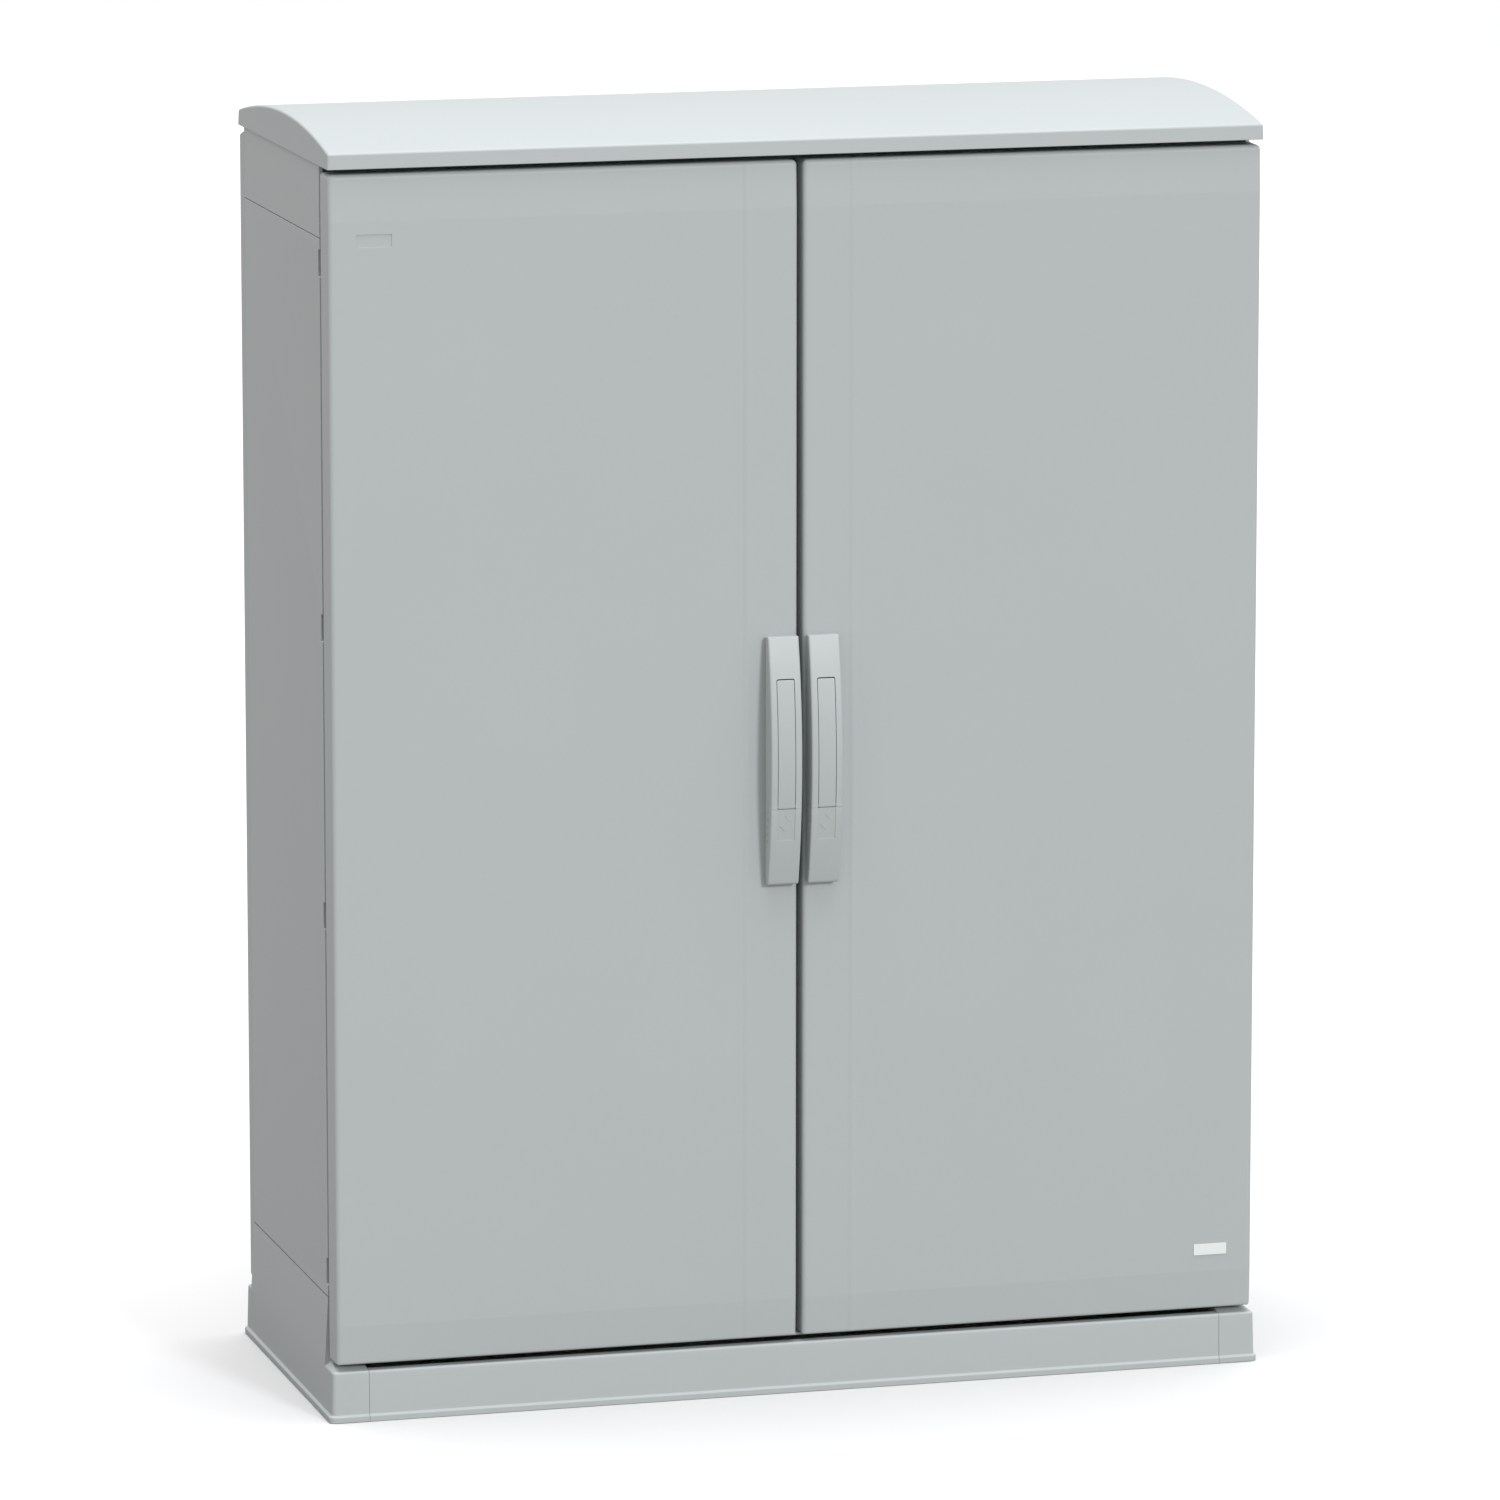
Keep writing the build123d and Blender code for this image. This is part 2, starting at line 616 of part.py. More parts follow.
def door_blank():
    """Right door without its cut-outs: flat field, sloping top and bottom bands, hollow back."""
    x = (DOOR_GAP / 2, HALF_WIDTH)
    band_y = DOOR_FRONT + BAND_SETBACK
    outline = make_face(
        Polyline(
            (band_y, DOOR_BOTTOM),
            (DOOR_FRONT, DOOR_BOTTOM + BAND_BOTTOM),
            (DOOR_FRONT, DOOR_TOP - BAND_TOP),
            (band_y, DOOR_TOP),
            (DOOR_BACK, DOOR_TOP),
            (DOOR_BACK, DOOR_BOTTOM),
            close=True,
        )
    )
    outline = fillet(outline.vertices().group_by(Axis.X)[0], BAND_BLEND_RADIUS)
    solid = Pos(x[0], 0, 0) * extrude(Plane.YZ * outline, amount=x[1] - x[0])
    solid = fillet(solid.edges().filter_by(Axis.Y), DOOR_CORNER)
    front = [edge for edge in solid.edges() if edge.center().Y < DOOR_FRONT + 2 * BAND_SETBACK]
    solid = fillet(front, DOOR_EDGE_RADIUS)
    pocket = block(
        (x[0] + RIM, x[1] - RIM - 0.5),
        (DOOR_FRONT + DOOR_SKIN, DOOR_BACK + 1),
        (DOOR_BOTTOM + RIM + 0.5, DOOR_TOP - RIM - 0.5),
    )
    pocket = fillet(pocket.edges().filter_by(Axis.Y), DOOR_CORNER - RIM)
    return solid - pocket


def seal_bead():
    """Low convex bead on the door face over the line of the inner seal."""
    radius = (BEAD_WIDTH ** 2 / 4 + BEAD_HEIGHT ** 2) / (2 * BEAD_HEIGHT)
    z = (DOOR_BOTTOM + BAND_BOTTOM + 4, DOOR_TOP - BAND_TOP - 4)
    round_bar = along_z(radius, BEAD_X, DOOR_FRONT - BEAD_HEIGHT + radius, z)
    return round_bar & block((BEAD_X - 10, BEAD_X + 10), (DOOR_FRONT - 1, DOOR_FRONT + 1), z)


def door_shell():
    """Right door: moulded pan with the seal bead and the spindle's hole."""
    hole = along_y(SPINDLE_RADIUS + 1.5, HANDLE_X, (DOOR_FRONT - 2, DOOR_FRONT + DOOR_SKIN + 1), TURN_Z)
    return door_blank() + seal_bead() - hole


def label_recess():
    """Shallow rectangular recess near the left door's top corner, drawn at its own place."""
    return block((-LABEL_X[1], -LABEL_X[0]), (DOOR_FRONT - 1, DOOR_FRONT + LABEL_DEPTH), LABEL_Z)


def nameplate():
    """Small blank plate near the right door's bottom corner."""
    plate = block(NAMEPLATE_X, (DOOR_FRONT - NAMEPLATE_THICKNESS, DOOR_FRONT), NAMEPLATE_Z)
    return fillet(plate.edges().filter_by(Axis.Y), 1.0)


def door_seal():
    """Foamed seal on the door skin, opposite the frame's four lips."""
    half = SEAL_WIDTH / 2
    y = (DOOR_FRONT + DOOR_SKIN, LIP_FRONT - SEAL_CLEARANCE)
    ring = block((LIP_INNER_X - half, LIP_OUTER_X + half), y, (LIP_BOTTOM_Z - half, LIP_TOP_Z + half))
    inside = block((LIP_INNER_X + half, LIP_OUTER_X - half), y, (LIP_BOTTOM_Z + half, LIP_TOP_Z - half))
    return ring - inside


# ---------------------------------------------------------------- rod drive

def pinion_outline():
    """Involute outline of the pinion, with one tooth on each side level with the racks."""
    base = PITCH_RADIUS * math.cos(math.radians(PRESSURE_ANGLE))
    tip = PITCH_RADIUS + ADDENDUM
    root = PITCH_RADIUS - DEDENDUM
    pitch_involute = math.tan(math.radians(PRESSURE_ANGLE)) - math.radians(PRESSURE_ANGLE)
    half_tooth = math.pi / (2 * TEETH) - BACKLASH / (4 * PITCH_RADIUS)
    flank = [(root, half_tooth + pitch_involute)]
    steps = 5
    for step in range(steps + 1):
        radius = base + (tip - base) * step / steps
        angle = math.acos(base / radius)
        flank.append((radius, half_tooth + pitch_involute - (math.tan(angle) - angle)))
    points = []
    for tooth in range(TEETH):
        middle = 2 * math.pi * tooth / TEETH
        rising = [(radius, middle - turn) for radius, turn in flank]
        falling = [(radius, middle + turn) for radius, turn in reversed(flank)]
        for radius, turn in rising + falling:
            points.append((radius * math.cos(turn), radius * math.sin(turn)))
    return make_face(Polyline(*points, close=True))


def spindle():
    """Handle spindle: head for the lift pin, shaft, drive pinion and rear journal."""
    shaft = along_y(SPINDLE_RADIUS, HANDLE_X, (HANDLE_BACK, PINION_FRONT), TURN_Z)
    gear = extrude(Plane.XZ.offset(-PINION_FRONT) * pinion_outline(), amount=PINION_FRONT - PINION_BACK)
    gear = Pos(HANDLE_X, 0, TURN_Z) * gear
    journal = along_y(JOURNAL_RADIUS, HANDLE_X, (PINION_BACK, CASE_PLATE_BACK + 2), TURN_Z)
    x = (HANDLE_X - HEAD_HALF_WIDTH, HANDLE_X + HEAD_HALF_WIDTH)
    head = block(x, (LIFT_Y - HEAD_RADIUS, HANDLE_BACK), (TURN_Z - 7, LIFT_Z))
    head += along_x(HEAD_RADIUS, x, LIFT_Y, LIFT_Z)
    head -= along_x(LIFT_PIN_RADIUS, (x[0] - 1, x[1] + 1), LIFT_Y, LIFT_Z)
    return shaft + gear + journal + head


def lift_pin():
    """Cross pin of the spindle head, on which the lever lifts."""
    reach = HANDLE_WIDTH / 2 - 1.4
    return along_x(LIFT_PIN_RADIUS, (HANDLE_X - reach, HANDLE_X + reach), LIFT_Y, LIFT_Z)


def rack(pitch_x, side, first, count):
    """Row of rack teeth pointing to the pinion; side is +1 when the rack lies at larger X."""
    pitch = math.pi * MODULE
    slope = math.tan(math.radians(PRESSURE_ANGLE))
    half = pitch / 4 - BACKLASH / 4
    teeth = []
    for index in range(first, first + count):
        z = TURN_Z + (index + 0.5) * pitch
        tip_x = pitch_x - side * ADDENDUM
        root_x = pitch_x + side * DEDENDUM
        tip_half = half - ADDENDUM * slope
        root_half = half + DEDENDUM * slope
        points = [(root_x + side * 0.5, z - root_half), (root_x, z - root_half), (tip_x, z - tip_half),
                  (tip_x, z + tip_half), (root_x, z + root_half), (root_x + side * 0.5, z + root_half)]
        teeth.append(front_prism(points, (ROD_BACK, ROD_FRONT)))
    return teeth


def rod(side, tip, first):
    """Lock rod: flat bar with a rack at the spindle; side -1 is beside the door's free edge."""
    pitch_x = HANDLE_X + side * PITCH_RADIUS
    near = pitch_x + side * DEDENDUM
    x = sorted((near, near + side * ROD_THICKNESS))
    inner_end = TURN_Z + ROD_END * side
    shape = block(x, (ROD_FRONT, ROD_BACK), sorted((inner_end, tip)))
    for tooth in rack(pitch_x, side, first, 6):
        shape += tooth
    ends = shape.faces().sort_by(Axis.Z)
    tip_face = ends[-1] if side < 0 else ends[0]
    return chamfer(tip_face.edges().filter_by(Axis.X), 2.0)


def lock_case():
    """Case over the pinion and the racks, open towards the door skin and the free edge."""
    skin = DOOR_FRONT + DOOR_SKIN
    z = (TURN_Z - CASE_HALF_HEIGHT, TURN_Z + CASE_HALF_HEIGHT)
    shape = block((CASE_INNER_X, CASE_OUTER_X), (skin, CASE_PLATE_BACK), z)
    shape -= block(
        (CASE_INNER_X - 1, CASE_OUTER_X - CASE_WALL),
        (skin - 1, CASE_PLATE_FRONT),
        (z[0] + CASE_WALL, z[1] - CASE_WALL),
    )
    slot_y = (ROD_FRONT - SLIDE_CLEARANCE, ROD_BACK + SLIDE_CLEARANCE)
    for side, slot_z in ((-1, (TURN_Z, z[1] + 1)), (1, (z[0] - 1, TURN_Z))):
        near = HANDLE_X + side * (PITCH_RADIUS - ADDENDUM - SLIDE_CLEARANCE)
        far = HANDLE_X + side * (PITCH_RADIUS + DEDENDUM + ROD_THICKNESS + SLIDE_CLEARANCE)
        shape -= block(sorted((near, far)), slot_y, slot_z)
    bore = along_y(
        JOURNAL_RADIUS + RUNNING_CLEARANCE, HANDLE_X, (CASE_PLATE_FRONT - 1, CASE_PLATE_BACK + 1), TURN_Z
    )
    return shape - bore


def rod_guide(side, z):
    """Hook-shaped guide that holds one rod close to the door skin."""
    near = HANDLE_X + side * (PITCH_RADIUS + DEDENDUM)
    pillar = sorted((near - side * SLIDE_CLEARANCE, near - side * 4.5))
    reach = sorted((near + side * ROD_THICKNESS, near - side * 4.5))
    height = (z - 8, z + 8)
    skin = DOOR_FRONT + DOOR_SKIN
    back = ROD_BACK + SLIDE_CLEARANCE
    shape = block(pillar, (skin, back + 3), height)
    shape += block(reach, (skin, ROD_FRONT - SLIDE_CLEARANCE), height)
    shape += block(reach, (back, back + 3), height)
    return shape


def rod_guides():
    """Three guides on each rod."""
    guides = [rod_guide(-1, z) for z in UPPER_GUIDE_LEVELS]
    guides += [rod_guide(1, z) for z in LOWER_GUIDE_LEVELS]
    return Compound(children=guides)


# ---------------------------------------------------------------- swing handle

def handle_y(depth, z):
    """Front-to-back place of the bow's outer face at a level, sunk in by depth."""
    rise = HANDLE_END_Y - HANDLE_CROWN_Y
    half = (HANDLE_TOP - HANDLE_BOTTOM) / 2
    radius = (half ** 2 + rise ** 2) / (2 * rise)
    return HANDLE_CROWN_Y + radius - math.sqrt((radius - depth) ** 2 - (z - HANDLE_MIDDLE) ** 2)


def bow(half_width, depth, end_wall):
    """Bow-shaped block of the handle, sunk in by depth below its outer face."""
    z = (HANDLE_BOTTOM + end_wall, HANDLE_TOP - end_wall)
    low = (handle_y(depth, z[0]), z[0])
    high = (handle_y(depth, z[1]), z[1])
    crown = (handle_y(depth, HANDLE_MIDDLE), HANDLE_MIDDLE)
    back = HANDLE_BACK + (1 if depth else 0)
    outline = make_face(
        Polyline(low, (back, z[0]), (back, z[1]), high) + ThreePointArc(high, crown, low)
    )
    return Pos(HANDLE_X - half_width, 0, 0) * extrude(Plane.YZ * outline, amount=2 * half_width)


def handle_body():
    """Whole bow, hollow from behind, with softened outer edges."""
    solid = bow(HANDLE_WIDTH / 2, 0, 0)
    outer = [edge for edge in solid.edges() if edge.center().Y < HANDLE_END_Y + 1]
    solid = fillet(outer, HANDLE_EDGE_RADIUS)
    return solid - bow(HANDLE_WIDTH / 2 - HANDLE_WALL, HANDLE_WALL, HANDLE_WALL)


def handle_zone(z):
    """Block that holds the handle between two levels."""
    half = HANDLE_WIDTH / 2 + 1
    return block((HANDLE_X - half, HANDLE_X + half), (HANDLE_CROWN_Y - 5, DOOR_FRONT), z)


def flap_pivot():
    """Place of the flap's pivot axis, as (y, z)."""
    return (handle_y(FLAP_PIVOT_DEPTH, FLAP_PIVOT_Z), FLAP_PIVOT_Z)


def lever():
    """Upper shell of the bow: lift pivot, flap window, flap bearings and the lock's seat."""
    shape = handle_body() & handle_zone((HANDLE_SPLIT + SEAM / 4, HANDLE_TOP + 1))
    seat = bow(HANDLE_WIDTH / 2 - 1, HANDLE_WALL - 0.5, HANDLE_WALL)
    lock_floor = seat & handle_zone((LOCK_Z - 14, LOCK_Z + 14))
    floor_y = handle_y(0, LOCK_Z) + 8
    lock_floor &= block((0, 50), (floor_y, floor_y + 4), (LOCK_Z - 20, LOCK_Z + 20))
    bearings = seat & handle_zone((HANDLE_SPLIT + SEAM / 4, FLAP_PIVOT_Z + 5))
    bearings &= block((0, 50), (HANDLE_CROWN_Y, flap_pivot()[0] + 4), (600, 700))
    shape += bearings
    x = (HANDLE_X - FLAP_HALF_WIDTH, HANDLE_X + FLAP_HALF_WIDTH)
    shape -= block(x, (HANDLE_CROWN_Y - 5, HANDLE_BACK - 5), (HANDLE_SPLIT - 1, FLAP_TOP))
    shape += lock_floor
    shape -= along_x(
        FLAP_PIN_RADIUS + RUNNING_CLEARANCE, (x[0] - 3, x[1] + 3), flap_pivot()[0], flap_pivot()[1]
    )
    shape -= along_y(LOCK_RADIUS + RUNNING_CLEARANCE, HANDLE_X, (HANDLE_CROWN_Y, HANDLE_BACK), LOCK_Z)
    reach = HANDLE_WIDTH / 2 - 1.3
    shape -= along_x(
        LIFT_PIN_RADIUS + RUNNING_CLEARANCE, (HANDLE_X - reach, HANDLE_X + reach), LIFT_Y, LIFT_Z
    )
    rise = HANDLE_TOP - LIFT_Z + 1
    relief = rise * math.tan(math.radians(LIFT_RELIEF_ANGLE))
    shape -= side_prism(
        [
            (HANDLE_BACK + 1, LIFT_Z),
            (HANDLE_BACK, LIFT_Z),
            (HANDLE_BACK - relief, LIFT_Z + rise),
            (HANDLE_BACK + 1, LIFT_Z + rise),
        ],
        (0, 50),
    )
    return shape


def grip():
    """Lower shell of the bow, with a shallow pressed field and small side ribs."""
    shape = handle_body() & handle_zone((HANDLE_BOTTOM - 1, HANDLE_SPLIT - SEAM / 4))
    x = (HANDLE_X - FLAP_HALF_WIDTH, HANDLE_X + FLAP_HALF_WIDTH)
    field = block(x, (HANDLE_CROWN_Y - 5, DOOR_FRONT), (GRIP_FIELD_BOTTOM, HANDLE_SPLIT + 1))
    sunk = bow(HANDLE_WIDTH / 2, GRIP_FIELD_DEPTH, 0.2)
    shape -= field - sunk
    for index in range(GRIP_RIBS):
        z = GRIP_RIB_BOTTOM + GRIP_RIB_PITCH * index
        y = handle_y(9, z)
        for end in (-1, 1):
            side = HANDLE_X + end * HANDLE_WIDTH / 2
            rib_x = (side - GRIP_RIB_PROUD, side + GRIP_RIB_PROUD)
            shape += block(rib_x, (y, y + 5), (z, z + GRIP_RIB_HEIGHT))
    return shape


def flap():
    """Cover over the lock, curved with the bow, turning on two moulded trunnions."""
    side_gap = 0.35
    half = FLAP_HALF_WIDTH - side_gap
    x = (HANDLE_X - half, HANDLE_X + half)
    skin = bow(half, 0, 0) - bow(half + 1, FLAP_THICKNESS, -1)
    y, z = flap_pivot()
    plate = skin & block((0, 50), (HANDLE_CROWN_Y - 5, HANDLE_BACK), (z, FLAP_TOP - 0.7))
    trunnions = along_x(FLAP_PIN_RADIUS, (x[0] - 2.5, x[1] + 2.5), y, z)
    return plate + along_x(FLAP_PIVOT_DEPTH, x, y, z) + trunnions


def lock_insert():
    """Key insert under the flap: round body, socket with a centre pin, cam at the back."""
    front = handle_y(0, LOCK_Z) + 6.0
    back = HANDLE_BACK - 2.5
    body = along_y(LOCK_RADIUS, HANDLE_X, (front, back), LOCK_Z)
    socket = along_y(LOCK_RADIUS - 2.5, HANDLE_X, (front - 1, front + 6), LOCK_Z)
    pin = along_y(2.0, HANDLE_X, (front + 0.5, front + 7), LOCK_Z)
    bit = block((HANDLE_X - 3.5, HANDLE_X + 3.5), (front + 1, front + 7), (LOCK_Z - 0.9, LOCK_Z + 0.9))
    cam = block((HANDLE_X - 4, HANDLE_X + 4), (back, back + 2), (LOCK_Z - 12, LOCK_Z + 4))
    return body - socket + pin + bit + cam


def handle_base():
    """Flat base between the handle and the door, with the spindle's bearing."""
    half = HANDLE_WIDTH / 2 - 0.8
    z = (HANDLE_BOTTOM + 1, HANDLE_TOP - 1)
    shape = block((HANDLE_X - half, HANDLE_X + half), (BASE_FRONT, DOOR_FRONT), z)
    shape = fillet(shape.edges().filter_by(Axis.Y), 2.0)
    shape += along_y(SPINDLE_RADIUS + 1.4, HANDLE_X, (DOOR_FRONT, DOOR_FRONT + DOOR_SKIN), TURN_Z)
    bore = along_y(
        SPINDLE_RADIUS + RUNNING_CLEARANCE, HANDLE_X, (BASE_FRONT - 1, DOOR_FRONT + 10), TURN_Z
    )
    return shape - bore


# ---------------------------------------------------------------- inside

def floor_rail(y):
    """Floor strip between the side walls."""
    shape = block((-INNER_HALF, INNER_HALF), y, (FLOOR_PLATE_BOTTOM, FLOOR_PLATE_TOP))
    for x in GLAND_SCREW_X:
        for place in GLAND_SCREW_Y:
            shape -= along_z(M6_RADIUS, x, place, (FLOOR_PLATE_BOTTOM - 1, FLOOR_PLATE_TOP + 1))
    return shape


def gland_plate():
    """Removable plate over the cable entry."""
    y = (GLAND_FRONT - GLAND_OVERLAP, GLAND_BACK + GLAND_OVERLAP)
    shape = block((-INNER_HALF + 15, INNER_HALF - 15), y, (FLOOR_PLATE_TOP, GLAND_PLATE_TOP))
    shape = fillet(shape.edges().filter_by(Axis.Z), 6.0)
    for x in GLAND_SCREW_X:
        for place in GLAND_SCREW_Y:
            shape -= along_z(M6_RADIUS, x, place, (FLOOR_PLATE_TOP - 1, GLAND_PLATE_TOP + 1))
    return shape


def mounting_rail():
    """Upright channel behind the mounting plate, open towards the middle; the right one."""
    x = (RAIL_X - RAIL_HALF_X, RAIL_X + RAIL_HALF_X)
    z = (FLOOR_PLATE_TOP, ROOF_PLATE_BOTTOM)
    shape = block(x, (PLATE_BACK, RAIL_BACK), z)
    shape -= block((x[0] - 1, x[1] - RAIL_WALL), (PLATE_BACK + RAIL_WALL, RAIL_BACK - RAIL_WALL), z)
    for level in plate_screw_levels():
        shape -= along_y(M6_RADIUS, RAIL_X, (PLATE_BACK - 1, PLATE_BACK + RAIL_WALL + 1), level)
    for level in BACK_SCREW_LEVELS:
        shape -= along_y(M6_RADIUS, RAIL_X, (RAIL_BACK - RAIL_WALL - 1, RAIL_BACK + 1), level)
    return shape


def plate_screw_levels():
    """Levels of the mounting plate's screws."""
    return (PLATE_BOTTOM + 20, (PLATE_BOTTOM + PLATE_TOP) / 2, PLATE_TOP - 20)


def mounting_plate():
    """Steel plate that carries the switchgear."""
    shape = block((-PLATE_HALF_X, PLATE_HALF_X), (PLATE_FRONT, PLATE_BACK), (PLATE_BOTTOM, PLATE_TOP))
    for x in (-RAIL_X, RAIL_X):
        for level in plate_screw_levels():
            shape -= along_y(M6_RADIUS, x, (PLATE_FRONT - 1, PLATE_BACK + 1), level)
    for x in earth_stud_places():
        shape -= along_y(M6_RADIUS, x, (PLATE_FRONT - 1, PLATE_BACK + 1), PLATE_BOTTOM + 20)
    return shape


def mounting_plate_screws():
    """Hexagon-head screws of the mounting plate."""
    screws = []
    for x in (-RAIL_X, RAIL_X):
        for level in plate_screw_levels():
            screws.append(Pos(x, PLATE_FRONT, level) * Rot(90, 0, 0) * screw_z(0, 0, 0, 12))
    return Compound(children=screws)


def earth_stud_places():
    """Positions of the earth studs across the mounting plate's bottom edge."""
    return (-40.0, 40.0)


def earth_studs():
    """Threaded studs with a nut each, for the protective conductor."""
    studs = []
    for x in earth_stud_places():
        stud = along_y(M6_RADIUS, x, (PLATE_FRONT - 18, PLATE_BACK), PLATE_BOTTOM + 20)
        nut = Pos(x, PLATE_FRONT, PLATE_BOTTOM + 20) * Rot(90, 0, 0) * extrude(
            RegularPolygon(M6_HEAD_RADIUS + 1, 6), amount=5
        )
        studs.append(stud + nut)
    return Compound(children=studs)


# ---------------------------------------------------------------- assembly

def save_pair(name, shape):
    """Write a piece for the right side and its mirror image for the left side."""
    save(name + "_right", shape)
    save(name + "_left", mirrored(shape))


def main():
    os.makedirs("parts", exist_ok=True)
    save_pair("plinth_side", plinth_side())
    save("plinth_front_panel", plinth_panel())
    save("plinth_back_panel", Rot(0, 0, 180) * plinth_panel())
    save("base_screws", base_screws())
    save_pair("side_panel", side_wall(LOWER_SEAM + SEAM, UPPER_SEAM - SEAM))
    save_pair("top_side", side_wall(UPPER_SEAM + SEAM, CANOPY_BOTTOM))
    save("back_cover", back_cover())
    save("back_screws", back_screws())
    save("canopy", canopy())
    save("canopy_screws", canopy_screws())
    save("roof_plate", roof_plate())
    save_pair("door_stile", door_stile())
    save("top_rail", cross_rail((LIP_TOP_Z + LIP / 2, CANOPY_BOTTOM - 1), LIP_TOP_Z))
    save("bottom_rail", bottom_rail())
    save("central_upright", central_upright())
    save("rod_keepers", rod_keepers())
    save("hinge_brackets", hinge_brackets())
    save("hinge_pins", hinge_pins())
    save("floor_rail_front", floor_rail((FRAME_BACK, GLAND_FRONT)))
    save("floor_rail_back", floor_rail((GLAND_BACK, RAIL_BACK)))
    save("gland_plate", gland_plate())
    save_pair("mounting_rail", mounting_rail())
    save("mounting_plate", mounting_plate())
    save("mounting_plate_screws", mounting_plate_screws())
    save("earth_studs", earth_studs())
    save("door_shell_right", door_shell())
    save("door_shell_left", mirrored(door_shell()) - label_recess())
    save("nameplate", nameplate())
    save_pair("door_seal", door_seal())
    save_pair("hinge_arms", hinge_arms())
    save_pair("lock_case", lock_case())
    save_pair("rod_guides", rod_guides())
    save_pair("handle_base", handle_base())
    save_pair("spindle", spindle())
    save_pair("lift_pin", lift_pin())
    save_pair("lever", lever())
    save_pair("grip", grip())
    save_pair("flap", flap())
    save_pair("lock_insert", lock_insert())
    save_pair("upper_rod", rod(-1, UPPER_ROD_TIP, -2))
    save_pair("lower_rod", rod(1, LOWER_ROD_TIP, -4))


main()
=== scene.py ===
import json
import math

import bmesh
import bpy
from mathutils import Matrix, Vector


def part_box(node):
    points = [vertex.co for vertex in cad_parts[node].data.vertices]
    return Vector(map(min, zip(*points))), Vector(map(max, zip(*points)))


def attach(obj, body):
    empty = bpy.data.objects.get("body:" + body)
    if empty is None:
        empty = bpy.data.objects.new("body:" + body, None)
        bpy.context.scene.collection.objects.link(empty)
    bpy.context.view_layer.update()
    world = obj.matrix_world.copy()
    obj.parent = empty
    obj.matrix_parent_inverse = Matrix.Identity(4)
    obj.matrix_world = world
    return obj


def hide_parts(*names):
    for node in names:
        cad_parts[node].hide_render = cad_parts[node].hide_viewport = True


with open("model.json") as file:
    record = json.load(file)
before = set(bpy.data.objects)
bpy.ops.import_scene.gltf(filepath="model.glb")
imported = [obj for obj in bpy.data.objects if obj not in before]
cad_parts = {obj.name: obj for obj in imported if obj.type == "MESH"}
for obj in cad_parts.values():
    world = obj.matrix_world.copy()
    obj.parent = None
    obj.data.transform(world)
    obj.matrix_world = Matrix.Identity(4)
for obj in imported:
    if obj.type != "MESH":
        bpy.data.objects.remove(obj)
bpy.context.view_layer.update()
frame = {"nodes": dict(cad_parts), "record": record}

# Two-door polyester switchboard cabinet: the outer mouldings are rebuilt here as smooth shells around the
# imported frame, and every other piece keeps its CAD shape and gets a finish. Metres, in the shared frame.

MM = 0.001
SHARP_ANGLE = math.radians(32)
NEAR_REPEAT = 0.2 * MM


# ---- small helpers

def box_of(node):
    """Lowest and highest corner of a CAD node."""
    low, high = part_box(node)
    return Vector(low), Vector(high)


def ramp(low, high, count):
    """Evenly spaced values from low to high, both included."""
    return [low + (high - low) * index / count for index in range(count + 1)]


def merged(values):
    """Sorted values without near repeats."""
    kept = []
    for value in sorted(values):
        if not kept or value - kept[-1] > NEAR_REPEAT:
            kept.append(value)
    return kept


def clamp(value, low, high):
    """Value kept between two limits."""
    return max(low, min(high, value))


# ---- node helpers

# A Mix node has sockets of the same name for each type of data, so its colour ones go by number.
MIX_A = 6
MIX_B = 7
MIX_RESULT = 2
# Most of a noise texture lies between these values.
NOISE_LOW = 0.3
NOISE_HIGH = 0.7
# Pointiness range over which convex edges are painted paler, and how much: a painted highlight.
EDGE_BEND = (0.51, 0.58)
EDGE_HIGHLIGHT = 0.5


class Nodes:
    """Short way to add and link shader nodes in one tree."""

    def __init__(self, tree):
        self.tree = tree
        tree.nodes.clear()

    def add(self, kind, inputs=None, **settings):
        """New node with its settings made and its inputs fed."""
        node = self.tree.nodes.new(kind)
        for name, value in settings.items():
            setattr(node, name, value)
        for name, value in (inputs or {}).items():
            self.feed(node, name, value)
        return node

    def feed(self, node, name, value):
        """Set an input socket to a constant or link it to another node's output."""
        socket = node.inputs[name]
        if isinstance(value, bpy.types.NodeSocket):
            self.tree.links.new(value, socket)
        else:
            socket.default_value = value

    def math(self, operation, *values):
        """Result of one arithmetic operation."""
        return self.add("ShaderNodeMath", dict(enumerate(values)), operation=operation).outputs[0]

    def noise(self, vector, scale, detail=2.0, roughness=0.5, distortion=0.0):
        """Noise texture's value."""
        inputs = {"Vector": vector, "Scale": scale, "Detail": detail, "Roughness": roughness}
        inputs["Distortion"] = distortion
        return self.add("ShaderNodeTexNoise", inputs).outputs["Fac"]

    def remap(self, value, low, high, to_low, to_high):
        """Value moved from one range to another."""
        inputs = {"Value": value, "From Min": low, "From Max": high, "To Min": to_low, "To Max": to_high}
        return self.add("ShaderNodeMapRange", inputs).outputs["Result"]

    def spread(self, noise, to_low=0.0, to_high=1.0):
        """Noise stretched over a whole range."""
        return self.remap(noise, NOISE_LOW, NOISE_HIGH, to_low, to_high)

    def blend(self, first, second):
        """Weighted sum of two (value, weight) pairs."""
        return self.math("ADD", self.math("MULTIPLY", *first), self.math("MULTIPLY", *second))

    def shade(self, dark, light, factor):
        """Colour between dark and light; each is a colour or another node's output."""
        node = self.add("ShaderNodeMix", data_type="RGBA")
        self.feed(node, "Factor", factor)
        for socket, colour in ((MIX_A, dark), (MIX_B, light)):
            linked = isinstance(colour, bpy.types.NodeSocket)
            self.feed(node, socket, colour if linked else (*colour, 1.0))
        return node.outputs[MIX_RESULT]


